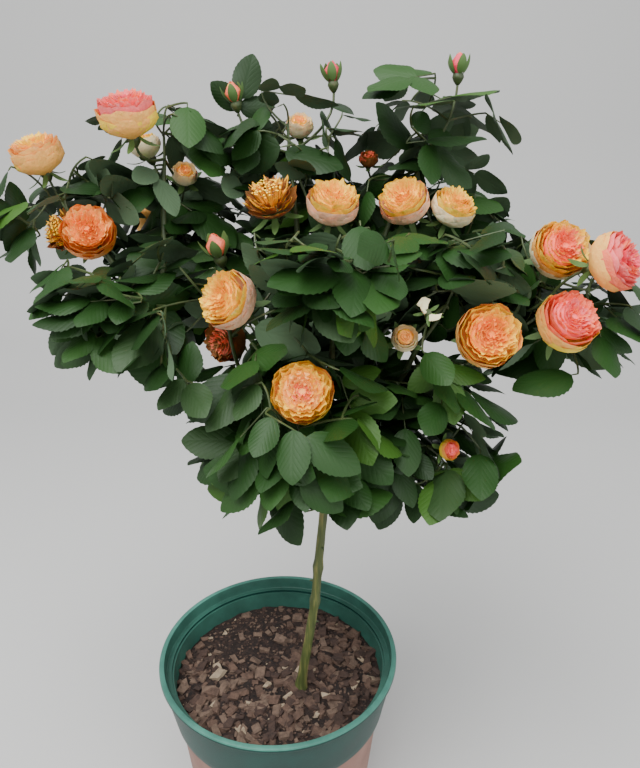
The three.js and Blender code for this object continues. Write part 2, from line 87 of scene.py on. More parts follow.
# Potting mix
SOIL_LEVEL = 172
SOIL_RINGS = 46
SOIL_RELIEF = 3.2
HUMMOCK = {"length": 34, "share": 0.55, "layer": 3.1}
LUMP = {"length": 9, "share": 0.45, "layer": 7.7}
LUMP_OCTAVES = (0.8, 2.0, 4)
CHIP_SEED = 5
CHIP_COUNT = 640
CRUMB_COUNT = 1800
CHIP_FIELD = 106
CHIP_FREE_RADIUS = 8
CHIP_TILT = 0.22
CHIP_LENGTHS = {"crumb": (1.5, 4.5), "chip": (5, 18)}
CHIP_SHAPE = {"width": (0.45, 0.8), "thickness": (0.2, 0.4), "corner": (0.45, 1), "sunk": 0.3}
BARE_PATCH = {"place": (-40, 55), "radius": 48, "share": 0.8}
PEAT = [(0.32, (20, 13, 10)), (0.48, (39, 26, 21)), (0.62, (62, 43, 34)), (0.76, (88, 66, 52))]
# Each tone of bark: the share of chips up to it, and its darker and paler colour
TONE_PLACES = (0.35, 0.65)
BARK_TONES = {
    "dark_bark": (0.34, (42, 29, 24), (75, 55, 45)),
    "brown_bark": (0.72, (65, 47, 38), (102, 79, 65)),
    "grey_bark": (0.975, (79, 62, 51), (115, 94, 79)),
    "pale_bark": (1, (130, 112, 91), (165, 149, 126)),
}

# Stem and its bark
STEM_ROUTE = [
    [23.4, -19.5, SOIL_LEVEL],
    [31, -20, 225],
    [39, -20, 282],
    [42, -20.5, 320],
    [46, -20, 369],
    [50, -18, 422],
]
# The radii of stem and boughs, each with bark as where its thorns stand
STEM_RADIUS = {"foot": 4.8, "top": 3.9, "bark": 4.2}
BOUGH_RADIUS = {"from_head": 4.4, "from_bough": 3.2, "tip": 2.1, "bark": 2}
STEM_FLARE = {"extra": 2.6, "height": 9}
STEM_KNOTS = {"fractions": [0.44, 0.6], "extra": 1.1, "height": 5}
STEM_THORNS = [0.3, 0.52, 0.71, 0.83]
# The swollen head at the fork: the share of the stem, the rise above it and the radius
HEAD_ROWS = [(0.94, 0, 4.75), (0.965, 0, 7.125), (1, 0, 9.025), (1, 5, 7.125), (1, 8, 1.9)]
BOUGH_STEPS = 5
BOUGH_END = 0.62
BOUGH_BEND = {"outwards": 0.62, "up": 0.4}
BARK_DEPTH = {"stem": 0.45, "head": 1.6, "bough": 0.4}
BARK_GRAIN = np.array([3.4, 3.4, 26])
# Thorns: where the middle of one lies and how far its tip hooks down are shares of its length,
# and where the first and the last may stand are shares of the spacing and of the bough
THORN = {"length": 4.2, "root": 0.6, "middle": 0.55, "hook": 0.35}
THORN_ROW = {"spacing": 31, "first": 0.6, "last": 0.95}
THORN_RADII = (1.5, 0.675, 0.09)

# Steps along and sides round each kind of limb
STEPS = {"route": 12, "stem": 120, "head": 12, "bough": 20, "shoot": 12, "stalk": 8, "twig": 6, "hip": 6}
SIDES = {
    "stem": 18, "head": 16, "bough": 10, "thorn": 6, "shoot": 8, "stalk": 7, "twig": 5,
    "hip": 10, "heart": 20, "stamen": 4,
}

# Shoots, stalks and twigs. A shoot's top is a share of its mass's reach. Bends, joints and
# the stalks' roots are shares of a length, and the rest are millimetres.
SHOOT_TOP = 0.2
SHOOT_STEPS = 3
SHOOT_JOINTS = [0.35, 0.5, 0.65, 0.8, 0.95]
ARRIVAL_BEND = 0.4
TWIG_SWEEP = 0.5
TWIG_OVERHANG = 40
LONGEST_TWIG = 70
NEAREST_JOINTS = 6
BARE_STALK = 6
STALK_ROOTS = [0.6, 0.8, 0.95, 0.45]
STALK_END = 0.9
TWIG_RADIUS = {"shoot": 1.9, "stalk": 1.4, "twig": 1.1, "rachis": 0.8, "tip": 0.45}
RACHIS_SHARES = (0.35, 0.7, 1)
# The steps at which twigs and stalks branch, and how much a twig's turn and its distance
# from the shoot's top count against it
BRANCHING = [3, 5]
TWIG_COST = {"turn": 0.5, "top": 0.25}

# Leaves of five leaflets come first, then leaves of three fill what is left between them.
# Of the places tried, most is how many leaves a full mass keeps. A leaf keeps at least the
# fewest leaflets. Its forms are sizes and shares of the reach, the outermost and largest first.
LEAF_KINDS = [
    {
        "places": 110, "most": 40, "fewest": 3, "tip": 40, "clearance": 6, "overhang": 10,
        "pairs": [{"at": 7, "size": 0.72, "spread": 1.4}, {"at": 28, "size": 0.86, "spread": 1.1}],
        "forms": [(size, shell) for shell in (0.8, 0.64, 0.5, 0.36, 0.22) for size in (1, 0.86, 0.74)],
    },
    {
        "places": 160, "most": 30, "fewest": 1, "tip": 20, "clearance": 5.5, "overhang": 26,
        "pairs": [{"at": 9, "size": 0.82, "spread": 1.15}],
        "forms": [(size, shell) for shell in (0.95, 0.8, 0.65, 0.5, 0.35) for size in (1, 0.84, 0.7)],
    },
]
OPEN_MASSES = {"right_top": 0.3, "centre_top": 0.55, "left_top": 0.65, "left_outer": 0.7}
LEAF_TOPS = {"left_top": 744, "left_outer": 700}
LEAF_POSES = 4
# A leaf's droop: its sink where it grows level, less of it higher up, its scatter, and how far
# it swings aside. Then how far it faces up and out.
LEAF_DROOP = {"level": -0.35, "rise": 0.45, "spread": 0.45, "aside": 1.8}
LEAF_FACING = {"up": 0.9, "out": 0.55, "spread": 0.5}

# What leaves and twigs keep clear of: limbs, and the lines from the camera and the light to
# each rose. As shares of its width: how far before its middle they start, and how wide they are.
# A rose that faces away by more than BACK_FACING is seen from where it faces.
LIMB_CLEARANCE = 3.5
LIMB_SAMPLES = 30
SIGHT_SHARES = {"leaf": (-0.3, 0.64), "twig": (0.3, 0.5)}
LIGHT_SHARE = 0.8
LEAST_SIGHT = 30
BACK_FACING = -0.2
SIGHT_LENGTH = 260
EDGE = 4

# Steps of evenly spread directions, and the seed of the first mass
SPREAD = {"turn": 0.7549, "height": 0.5698, "range": 1.8}
FIRST_SEED = 101

# One leaflet: its length, its width as a share of that, its thickness and the angle it rolls
# by, then the least and most that it folds and bends, and how hollow and wavy it is
LEAFLET = {"length": 53, "width": 0.66, "thickness": 0.6, "roll": 0.35}
CURL = {"fold": (0.02, 0.2), "droop": (0, 0.16), "twist": (-0.2, 0.2), "wave": (0, 0.04)}
HOLLOW = 0.9
WAVES = 9
# Where a leaflet is tested for room: along its middle, and as far aside
KEY_SHARES = {"along": (0.12, 0.45, 0.75, 1), "aside": 0.42}
# The outline's powers towards its base and its tip, with the greatest width that they give
LEAF_OUTLINE = {"base": 0.62, "tip": 0.75, "peak": 0.3893}
TEETH = 11
# Rows of a blade's corners: how far on along a tooth, how far aside and how thick
BLADE_ROWS = {
    "middle": (0, 0, 1), "inner": (0, 0.55, 0.8), "notch": (0, 0.96, 0), "tooth": (0.72, 1.01, 0),
}
VEINS = {"count": 7, "slant": 7, "softness": 0.5, "midrib": 16, "grain": 0.5}

# Leafy masses: each fills a ball round its centre, less what lies nearer to
# another, on a bough that starts at a share of the way along another limb.
# A rose is its form, its centre, its width, the way that it faces and its colours.
MASS_PARTS = ("name", "centre", "reach", "from", "fork", "roses")
MASS_ROWS = [
    ("left_outer", [-172, 12, 655], 68, "trunk", 1, [
        ["full", [-194, 22, 703], 42, [-0.2, -0.3, 0.9], "honey"],
        ["full", [-152, 4, 640], 44, [0.2, -0.9, 0.5], "orange"],
        ["spent", [-179, 16, 640], 34, [-0.5, -0.7, 0.4], "faded"],
    ]),
    ("centre_front", [55, -80, 616], 76, "trunk", 1, []),
    ("centre_top", [16, 52, 712], 76, "trunk", 1, [
        ["bud", [-33, 75, 751], 16, [-0.2, -0.1, 0.9], "budding"],
        ["bud", [55, 78, 768], 16, [-0.1, 0, 1], "rosy"],
        ["half", [25, 92, 727], 27, [0, -0.5, 0.8], "peach"],
        ["spent", [2, 10, 667], 43, [-0.2, -0.5, 0.8], "faded"],
        ["full", [55, 8, 664], 43, [0.1, -0.5, 0.8], "golden"],
    ]),
    ("right_front", [150, -50, 598], 80, "trunk", 1, [
        ["full", [169, -90, 575], 46, [0, -0.9, 0.4], "amber"],
        ["half", [110, -68, 567], 22, [0, -0.8, 0.5], "peach"],
        ["last", [126, -78, 592], 20, [0.1, -0.7, 0.7], "white"],
    ]),
    ("back_centre", [40, 120, 604], 90, "trunk", 1, [
        ["full", [22, 196, 640], 46, [-0.1, 0.8, 0.5], "golden"],
        ["full", [66, 190, 560], 42, [0.2, 0.9, 0.3], "coral"],
        ["bud", [58, 172, 682], 16, [0.1, 0.4, 0.9], "rosy"],
    ]),
    ("low_front", [24, -74, 490], 88, "trunk", 1, [
        ["full", [31, -114, 539], 45, [0, -0.9, 0.45], "apricot"],
    ]),
    ("low_right", [122, -40, 474], 88, "trunk", 1, [
        ["half", [150, -74, 474], 18, [0.4, -0.8, 0.3], "coral"],
    ]),
    ("back_low", [46, 64, 500], 82, "back_centre", 0.12, [
        ["full", [30, 128, 498], 40, [-0.2, 0.9, 0.3], "cream"],
    ]),
    ("left_front", [-28, -66, 575], 80, "left_outer", 0.3, [
        ["full", [-26, -71, 598], 44, [-0.55, -0.7, 0.45], "golden"],
        # This rose's brown and coral petals are its deep red-orange darkened by painted shade, as it sits
        # shaded behind the golden rose.
        ["full", [-35, -35, 556], 36, [-0.5, -0.7, 0], "russet"],
        ["bud", [-40, -20, 629], 18, [-0.2, -0.2, 0.9], "budding"],
    ]),
    ("left_low", [-108, -52, 590], 72, "left_outer", 0.52, []),
    ("left_top", [-92, 48, 706], 66, "left_outer", 0.72, [
        ["full", [-109, 1, 733], 46, [-0.1, -0.3, 0.95], "sunset"],
        ["half", [-119, 88, 710], 30, [-0.3, -0.1, 0.9], "cream"],
        ["half", [-80, 68, 685], 24, [0.2, -0.7, 0.6], "peach"],
    ]),
    ("right_top", [138, 62, 698], 90, "centre_top", 0.42, [
        ["bud", [166, 75, 774], 16, [0, 0, 1], "rosy"],
        ["half", [90, 92, 698], 19, [0, -0.5, 0.8], "russet"],
        ["full", [116, 21, 664], 42, [-0.3, -0.6, 0.7], "golden"],
        ["full", [160, 24, 659], 38, [0.3, -0.5, 0.8], "cream"],
    ]),
    ("right_outer", [238, -28, 584], 80, "right_front", 0.55, [
        ["full", [238, -26, 629], 46, [0.1, -0.8, 0.5], "rosette"],
        ["full", [266, -66, 626], 44, [0.7, -0.6, 0.4], "pink"],
        ["full", [234, -71, 581], 46, [0.2, -0.7, 0.6], "coral"],
    ]),
    ("back_left", [-90, 100, 600], 86, "back_centre", 0.38, [
        ["full", [-132, 148, 640], 44, [-0.5, 0.7, 0.5], "apricot"],
        ["half", [-84, 158, 566], 30, [-0.2, 0.9, 0.3], "golden"],
    ]),
    ("back_right", [168, 95, 600], 88, "back_centre", 0.5, [
        ["full", [196, 158, 630], 44, [0.3, 0.8, 0.5], "pink"],
        ["half", [222, 108, 572], 32, [0.8, 0.4, 0.4], "peach"],
        ["full", [148, 168, 590], 40, [0, 0.9, 0.4], "golden"],
    ]),
]
MASSES = [dict(zip(MASS_PARTS, row)) for row in MASS_ROWS]
# The upright leaf behind the bud at the top left
LONE_LEAF = {"mass": "centre_top", "base": [-31, 80, 734], "along": [0.3, 0.1, 1], "size": 0.76}

# Petal colours, as 0 to 255 in red, green and blue
PETAL_COLOURS = {
    "cream": (253, 232, 186),
    "blush": (252, 194, 156),
    "pink": (246, 112, 112),
    "rose_red": (230, 60, 84),
    "coral": (250, 116, 84),
    "apricot": (253, 178, 88),
    "orange": (246, 140, 38),
    "gold": (253, 179, 38),
    "yellow": (254, 207, 58),
    "brown": (128, 78, 30),
}
TINTS = {name: number for number, name in enumerate(PETAL_COLOURS)}
# The petals' colours from the outermost ring to the heart, and the colour of their rims
BLOOM_COLOURS = {
    "white": (["cream", "cream"], "cream"),
    "cream": (["cream", "cream", "yellow", "gold", "gold"], "yellow"),
    "honey": (["apricot", "yellow", "yellow", "yellow", "gold"], "apricot"),
    "sunset": (["yellow", "apricot", "coral", "pink", "rose_red"], "pink"),
    "rosette": (["cream", "apricot", "apricot", "coral", "coral"], "yellow"),
    "orange": (["orange", "orange", "apricot", "orange", "orange"], "apricot"),
    "golden": (["blush", "blush", "yellow", "gold", "gold"], "yellow"),
    "apricot": (["apricot", "yellow", "gold", "apricot", "coral"], "yellow"),
    "amber": (["apricot", "apricot", "gold", "orange", "orange"], "yellow"),
    "coral": (["yellow", "apricot", "coral", "pink", "coral"], "coral"),
    "pink": (["apricot", "coral", "coral", "rose_red", "pink"], "pink"),
    "peach": (["cream", "cream", "yellow", "apricot", "apricot"], "cream"),
    "rosy": (["rose_red", "pink", "rose_red", "pink", "coral"], "rose_red"),
    "budding": (["coral", "apricot", "coral", "apricot", "coral"], "coral"),
    "russet": (["brown", "coral", "brown", "coral", "brown"], "brown"),
    "faded": (["brown", "brown", "gold", "brown", "gold"], "gold"),
}

# Rings of petals from the outside in: how many, where each starts and ends from the
# axis and along it, its half angle, and how far it bulges, as shares of the width
RING_PARTS = ("count", "foot", "rim", "span", "bulge")
RING_ROWS = {
    "full": [
        (5, (0.12, -0.42), (0.46, 0.04), 0.90, 0.17),
        (5, (0.11, -0.40), (0.45, 0.16), 0.85, 0.17),
        (7, (0.10, -0.36), (0.42, 0.24), 0.60, 0.14),
        (10, (0.08, -0.30), (0.38, 0.28), 0.38, 0.08),
        (12, (0.06, -0.24), (0.33, 0.31), 0.32, 0.05),
        (12, (0.05, -0.20), (0.27, 0.33), 0.32, 0.03),
        (11, (0.04, -0.16), (0.21, 0.34), 0.36, 0.02),
        (9, (0.03, -0.12), (0.15, 0.33), 0.44, 0.02),
        (7, (0.02, -0.10), (0.10, 0.32), 0.60, 0.02),
        (5, (0.01, -0.08), (0.05, 0.31), 0.90, 0.02),
    ],
    "half": [
        (5, (0.10, -0.44), (0.42, 0.16), 0.90, 0.18),
        (5, (0.09, -0.42), (0.38, 0.26), 0.85, 0.16),
        (7, (0.08, -0.36), (0.30, 0.30), 0.60, 0.12),
        (8, (0.06, -0.28), (0.22, 0.32), 0.50, 0.06),
        (7, (0.04, -0.20), (0.13, 0.32), 0.60, 0.04),
        (5, (0.02, -0.14), (0.06, 0.30), 0.90, 0.02),
    ],
    "bud": [
        (4, (0.10, -0.42), (0.14, 0.62), 1.10, 0.34),
        (3, (0.07, -0.36), (0.07, 0.76), 1.30, 0.28),
        (3, (0.05, -0.30), (0.03, 0.80), 1.40, 0.20),
    ],
    "spent": [
        (6, (0.10, -0.34), (0.46, 0.02), 0.60, 0.14),
        (10, (0.08, -0.30), (0.42, 0.12), 0.26, 0.10),
        (13, (0.07, -0.26), (0.36, 0.18), 0.20, 0.08),
        (13, (0.06, -0.20), (0.29, 0.22), 0.20, 0.05),
    ],
    "last": [
        (2, (0.08, -0.20), (0.50, 0.05), 0.70, 0.12),
        (1, (0.06, -0.16), (0.35, 0.20), 0.80, 0.10),
    ],
}
PETAL_RINGS = {form: [dict(zip(RING_PARTS, row)) for row in rows] for form, rows in RING_ROWS.items()}
# Under each form, as shares of its width: the hip's top, length and radius, and the sepals'
# length. Then the sepals' width as a share of their length, how far they rise as an angle,
# and how crumpled the petals are.
FORM_PARTS = ("top", "length", "radius", "sepals", "sepal_width", "open", "crumple")
FORM_ROWS = {
    "full": (-0.41, 0.18, 0.13, 0.42, 0.3, -0.5, 1),
    "half": (-0.42, 0.22, 0.17, 0.65, 0.34, 0.3, 0.8),
    "bud": (-0.36, 0.55, 0.33, 1.05, 0.5, 1.25, 0.25),
    "spent": (-0.33, 0.2, 0.15, 0.5, 0.3, -0.2, 2),
    "last": (-0.2, 0.3, 0.15, 0.5, 0.3, 0, 1),
}
FORMS = {form: dict(zip(FORM_PARTS, row)) for form, row in FORM_ROWS.items()}
PETAL_GRID = (6, 3)
# A petal's own shape, as shares of its height, span or width
PETAL = {
    "rounding": 0.2, "uneven": 0.1, "foot_span": 0.35, "least": 0.004, "waves": (4, 8),
    "ruffle_out": 0.028, "ruffle_up": 0.03, "flare": 0.25, "flare_from": 0.8, "roll": 0.18,
    "roll_from": 0.85,
}
PETAL_THICKNESS = 0.5
# How unevenly petals are set and dealt their colours, and the dome of the heart: its foot as
# (radius, height), its waist as a share of the first rim and a height, its radius as a share
# of each rim, how far it lies below the rims and how much it rises from ring to ring
PETAL_SCATTER = {"turn": 0.12, "tint": 0.7, "lean": 0.2, "height": 0.03, "stamen": 0.04}
HEART = {"foot": (0.1, -0.3), "waist": (0.8, -0.05), "share": 0.9, "depth": 0.15, "rise": 0.002}
RIM_SHARE = 0.6
NEVER_FACED = [0.3, 1, 0.1]
# The hip from its top down, as shares of its length and radius. How much the sepals stray,
# where they start, and how they bow and wrap, as shares of their length.
HIP_ROWS = [(0, 0.85), (0.3, 1), (0.7, 0.75), (1, 0.3)]
HIP_OVERLAP = 0.04
SEPALS = {"count": 5, "turn": 0.2, "lift": 0.15, "root": 0.8, "bow": 0.12, "wrap": 1.1, "thickness": 0.6}
STAMENS = {"count": 70, "radius": 0.3, "foot": -0.14, "gather": 0.55, "height": 0.27, "dome": 0.6}
STAMEN_RADII = (0.18, 0.225, 1.1)
ANTHER_LENGTH = 0.025
STAMEN_TINTS = ["gold", "brown", "yellow", "gold"]

# Greens of the leaves: how often each is dealt to a spray, and its colour from above
LEAF_GREENS = [
    (30, (21, 46, 13)),
    (30, (27, 57, 17)),
    (20, (35, 67, 22)),
    (14, (40, 64, 31)),
    (6, (50, 84, 24)),
]
UNDERSIDE_GREEN = (75, 97, 70)
HIP_GREEN = (79, 107, 57)
STEM_BARK = [(0.36, (57, 66, 28)), (0.5, (70, 80, 34)), (0.6, (99, 99, 49)), (0.72, (122, 104, 68))]
TWIG_BARK = [(0.35, (47, 60, 28)), (0.55, (60, 75, 36)), (0.75, (86, 81, 47))]

# How surfaces shine and glow
LOW_GLOSS = 0.25
PETAL_GLOW = {"Subsurface Weight": 0.2, "Subsurface Scale": 2 * MM}
# Noises: how many to the metre, their detail and roughness, and how far each axis is stretched
NOISES = {
    "mottle": (22, 5, 0.6),
    "grain": (900, 2, 0.6),
    "peat": (190, 8, 0.7),
    "peat_crumbs": (1140, 6, 0.75),
    "bark": (160, 8, 0.7),
    "bark_crumbs": (960, 6, 0.75),
    "stem_bark": (1, 6, 0.5, (260, 260, 22)),
    "green_twig": (120, 4, 0.6),
    "leaf": (700, 3, 0.6),
    "petal": (260, 3, 0.6),
}
# Each surface: its least and greatest roughness, and its relief
SURFACES = {
    "beige": ((0.5, 0.68), 0.12),
    "green": ((0.34, 0.5), 0.1),
    "peat": ((0.75, 1), 3),
    "dark_bark": ((0.75, 1), 1.2),
    "brown_bark": ((0.75, 1), 1.2),
    "grey_bark": ((0.75, 1), 1.2),
    "pale_bark": ((0.75, 1), 0.8),
    "stem_bark": ((0.5, 0.85), 0.9),
    "green_twig": ((0.4, 0.65), 0.3),
    "leaf": ((0.42, 0.62), 0.12),
    "underside": ((0.6, 0.8), 0.12),
    "sepal": ((0.45, 0.65), 0.1),
    "petal": ((0.5, 0.75), 0.8),
}

# Stage in metres: the floor's profile with its half width, the lamps with their place, size
# and power, and where they point
FLOOR_PROFILE = [(-6, 0), (1.2, 0), (1.7, 0.06), (2.05, 0.3), (2.2, 0.8), (2.2, 4)]
FLOOR_HALF_WIDTH = 7
FLOOR_COLOUR = (186, 186, 184)
SKY_COLOUR = (232, 233, 236)
SKY_STRENGTH = 1.35
LAMPS = {"overhead": ((-0.5, -0.9, 2.3), 1.8, 96), "fill": ((1.6, -1.3, 1.1), 1.4, 19)}
LAMP_TARGET = Vector((0.04, 0, 0.5))

# Camera, as it stood for the photograph
CAMERA = {"place": (43.96, -549.15, 701.57), "pitch": 19.733, "lens": 30, "sensor": 36}
EYE = np.array(CAMERA["place"])


# Small helpers

def linear(colour):
    """A colour of 0 to 255 in each part as the shaders take it."""
    shares = [part / 255 for part in colour]
    parts = [s / 12.92 if s <= 0.04045 else ((s + 0.055) / 1.055) ** 2.4 for s in shares]
    return (*parts, 1)


def unit(vector):
    vector = np.asarray(vector, float)
    return vector / np.linalg.norm(vector)


def turned(vector, axis, angle):
    """vector turned about an axis of length 1."""
    along = axis * np.dot(axis, vector) * (1 - math.cos(angle))
    return vector * math.cos(angle) + np.cross(axis, vector) * math.sin(angle) + along


def lerp(a, b, share):
    return a + (b - a) * share


def place_on(places, share):
    """The place at a share of the way along a row of places."""
    steps = len(places) - 1
    ring = min(int(share * steps), steps - 1)
    return lerp(places[ring], places[ring + 1], share * steps - ring)


def even_places(curve, steps):
    """Places at even lengths along a curve, given as a function of a share."""
    shares = np.linspace(0, 1, CURVE_SAMPLES)
    points = np.array([curve(share) for share in shares])
    lengths = np.concatenate([[0], np.cumsum(np.linalg.norm(np.diff(points, axis=0), axis=1))])
    wanted = np.linspace(0, lengths[-1], steps + 1)
    return np.array([[np.interp(w, lengths, points[:, axis]) for axis in range(3)] for w in wanted])


def resampled(places, steps):
    """A row of places at even lengths along another."""
    return even_places(lambda share: place_on(places, share), steps)


def eased(values, steps):
    """Values that pass evenly through a row of others."""
    return np.interp(np.linspace(0, 1, steps + 1), np.linspace(0, 1, len(values)), values)


def quadratic(start, bend, end):
    return lambda t: (1 - t) ** 2 * start + 2 * t * (1 - t) * bend + t ** 2 * end


def bent_places(start, end, arriving, steps):
    """A curved row of places that arrives at its end in a given direction."""
    bend = end - arriving * ARRIVAL_BEND * np.linalg.norm(end - start)
    return even_places(quadratic(start, bend, end), steps)


def in_scene(name, data):
    """A new object in the scene."""
    thing = bpy.data.objects.new(name, data)
    bpy.context.scene.collection.objects.link(thing)
    return thing


class Pile:
    """Many small shapes that become one piece."""

    def __init__(self):
        self.corners = []
        self.faces = []
        self.finishes = []
        self.charts = []
        self.count = 0

    def add(self, corners, faces, finish, chart=None):
        """finish is one number or one for each face, and chart a pattern place for each corner."""
        self.corners.append(corners)
        self.faces.append(np.asarray(faces) + self.count)
        self.finishes.append(np.broadcast_to(finish, len(faces)))
        self.charts.append(np.zeros((len(corners), 2)) if chart is None else chart)
        self.count += len(corners)

    def piece(self, name, slot, materials, sharp=70):
        """One smooth mesh object of the piece, carried by the only body."""
        faces = np.concatenate(self.faces)
        mesh = bpy.data.meshes.new(name)
        mesh.from_pydata((np.concatenate(self.corners) * MM).tolist(), [], faces.tolist())
        for material in materials:
            mesh.materials.append(material)
        mesh.polygons.foreach_set("material_index", np.concatenate(self.finishes).astype(np.int32))
        pattern = mesh.uv_layers.new(name="pattern")
        pattern.data.foreach_set("uv", np.concatenate(self.charts)[faces.ravel()].ravel())
        mesh.shade_smooth()
        mesh.set_sharp_from_angle(angle=math.radians(sharp))
        mesh.update()
        piece = in_scene(name, mesh)
        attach(piece, "root")
        return piece


def ring_faces(rings, sides):
    """Triangles between rings of corners, each ring closed."""
    faces = []
    for ring in range(rings - 1):
        for side in range(sides):
            a = ring * sides + side
            b = ring * sides + (side + 1) % sides
            faces += [(a, b, b + sides), (a, b + sides, a + sides)]
    return faces


def tube(places, radii, sides):
    """A limb with closed ends: its corners and faces."""
    places = np.asarray(places, float)
    radii = np.broadcast_to(radii, len(places))
    along = np.gradient(places, axis=0)
    along /= np.linalg.norm(along, axis=1)[:, None]
    chord = places[-1] - places[0]
    aside = np.array([1.0, 0, 0]) if abs(chord[0]) < abs(chord[1]) else np.array([0, 1.0, 0])
    normal = np.cross(aside, along)
    normal /= np.linalg.norm(normal, axis=1)[:, None]
    across = np.cross(along, normal)
    angles = np.linspace(0, 2 * math.pi, sides, endpoint=False)
    cosines, sines = np.cos(angles)[:, None], np.sin(angles)[:, None]
    circle = cosines * across[:, None] + sines * normal[:, None]
    rings = (places[:, None] + circle * radii[:, None, None]).reshape(-1, 3)
    corners = np.concatenate([rings, places[:1], places[-1:]])
    first = len(places) * sides
    last = first + 1
    start = (len(places) - 1) * sides
    faces = ring_faces(len(places), sides)
    faces += [(first, (i + 1) % sides, i) for i in range(sides)]
    faces += [(last, start + i, start + (i + 1) % sides) for i in range(sides)]
    return corners, np.array(faces)


def lathe(outline):
    """A closed outline of (radius, height) turned about the pot's axis."""
    angles = np.linspace(0, 2 * math.pi, POT_SEGMENTS, endpoint=False)
    rings = [
        np.column_stack([r * np.cos(angles), r * np.sin(angles), np.full(POT_SEGMENTS, float(z))])
        for r, z in outline
    ]
    return np.concatenate(rings), np.array(ring_faces(len(outline), POT_SEGMENTS))


# Materials

def set_inputs(tree, node, inputs):
    """Give a node's inputs their values, or link them to other nodes' sockets."""
    for name, value in inputs.items():
        if isinstance(value, bpy.types.NodeSocket):
            tree.links.new(value, node.inputs[name])
        else:
            node.inputs[name].default_value = value


def add_node(tree, kind, inputs):
    node = tree.nodes.new(kind)
    set_inputs(tree, node, inputs)
    return node


def nodes_of(name):
    material = bpy.data.materials.new(name)
    material.use_nodes = True
    tree = material.node_tree
    return material, tree, tree.nodes["Principled BSDF"]


def noise_of(tree, name):
    """One of the noises, laid out in the piece's own space."""
    scale, detail, roughness, *stretch = NOISES[name]
    place = add_node(tree, "ShaderNodeTexCoord", {}).outputs["Object"]
    for factors in stretch:
        mapping = add_node(tree, "ShaderNodeMapping", {"Vector": place, "Scale": factors})
        place = mapping.outputs["Vector"]
    look = {"Vector": place, "Scale": scale, "Detail": detail, "Roughness": roughness}
    return add_node(tree, "ShaderNodeTexNoise", look).outputs["Fac"]


def ramp(tree, source, stops):
    """A colour ramp of (place, colour) stops on a value."""
    node = add_node(tree, "ShaderNodeValToRGB", {"Fac": source})
    elements = node.color_ramp.elements
    while len(elements) < len(stops):
        elements.new(0.5)
    for element, (place, colour) in zip(elements, stops):
        element.position = place
        element.color = linear(colour)
    return node.outputs["Color"]


def finish_surface(tree, shader, surface, gloss, height, look):
    """The shader's look, with uneven roughness by one value and relief by another."""
    (least, greatest), depth = SURFACES[surface]
    spread = add_node(tree, "ShaderNodeMapRange", {"Value": gloss, "To Min": least, "To Max": greatest})
    relief = add_node(tree, "ShaderNodeBump", {"Height": height, "Distance": depth * MM, "Strength": 1})
    textures = {"Roughness": spread.outputs["Result"], "Normal": relief.outputs["Normal"]}
    set_inputs(tree, shader, {**look, **textures})


def math_node(tree, operation, *values):
    node = add_node(tree, "ShaderNodeMath", dict(enumerate(values)))
    node.operation = operation
    return node.outputs[0]


def moulded_plastic(name, stops, surface):
    """Plastic with a faint mottle, fine grain and uneven gloss."""
    material, tree, shader = nodes_of(name)
    mottle = noise_of(tree, "mottle")
    look = {"Base Color": ramp(tree, mottle, stops), "Specular IOR Level": LOW_GLOSS}
    finish_surface(tree, shader, surface, mottle, noise_of(tree, "grain"), look)
    return material


def green_plastic(name, colour):
    """The pot's green, as its own colour or as a lighter copy with painted light, with darker and lighter
    patches.
    """
    stops = [(place, [part * shade for part in colour]) for place, shade in PATCHES]
    return moulded_plastic(name, stops, "green")


def earthy(name, stops, kind):
    """Rough bark or peat, coloured by the noise of its kind, with crumbs in relief."""
    material, tree, shader = nodes_of(name)
    colour = ramp(tree, noise_of(tree, kind), stops)
    crumbs = noise_of(tree, f"{kind}_crumbs")
    finish_surface(tree, shader, name, crumbs, crumbs, {"Base Color": colour})
    return material


def young_bark(name, stops):
    """Green bark whose colour, gloss and relief follow one noise."""
    material, tree, shader = nodes_of(name)
    pattern = noise_of(tree, name)
    finish_surface(tree, shader, name, pattern, pattern, {"Base Color": ramp(tree, pattern, stops)})
    return material


def leaf_skin(name, colour, surface):
    """A plain green with faint veins: a groove along the middle and slanting side veins."""
    material, tree, shader = nodes_of(name)
    chart = add_node(tree, "ShaderNodeTexCoord", {}).outputs["UV"]
    place = add_node(tree, "ShaderNodeSeparateXYZ", {"Vector": chart}).outputs
    aside = math_node(tree, "ABSOLUTE", place["Y"])
    slant = math_node(tree, "MULTIPLY", aside, VEINS["slant"])
    rise = math_node(tree, "MULTIPLY", place["X"], VEINS["count"])
    phase = math_node(tree, "SUBTRACT", rise, slant)
    wave = math_node(tree, "SINE", math_node(tree, "MULTIPLY", phase, math.pi))
    ribs = math_node(tree, "POWER", math_node(tree, "ABSOLUTE", wave), VEINS["softness"])
    middle = math_node(tree, "MINIMUM", math_node(tree, "MULTIPLY", aside, VEINS["midrib"]), 1)
    veins = math_node(tree, "MULTIPLY", ribs, middle)
    grain = noise_of(tree, "leaf")
    height = math_node(tree, "ADD", veins, math_node(tree, "MULTIPLY", grain, VEINS["grain"]))
    look = {"Base Color": linear(colour), "Specular IOR Level": LOW_GLOSS}
    finish_surface(tree, shader, surface, grain, height, look)
    return material


def petal_skin(name, colour):
    """A plain petal colour with soft folds and a velvety surface."""
    material, tree, shader = nodes_of(f"petal_{name}")
    folds = noise_of(tree, "petal")
    finish_surface(tree, shader, "petal", folds, folds, {"Base Color": linear(colour), **PETAL_GLOW})
    return material


# Pot

def body_radius(height):
    return lerp(FOOT_RADIUS, BODY_TOP_RADIUS, height / BODY_TOP)


def turned_pile(parts):
    """A pile with one turned shape. The finish of each row of its faces is the number of the
    outline's part that the row leads to."""
    outline = [row for part in parts for row in part]
    finish = [number for number, part in enumerate(parts) for _ in part][1:]
    pile = Pile()
    pile.add(*lathe(outline), np.repeat(finish, 2 * POT_SEGMENTS))
    return pile


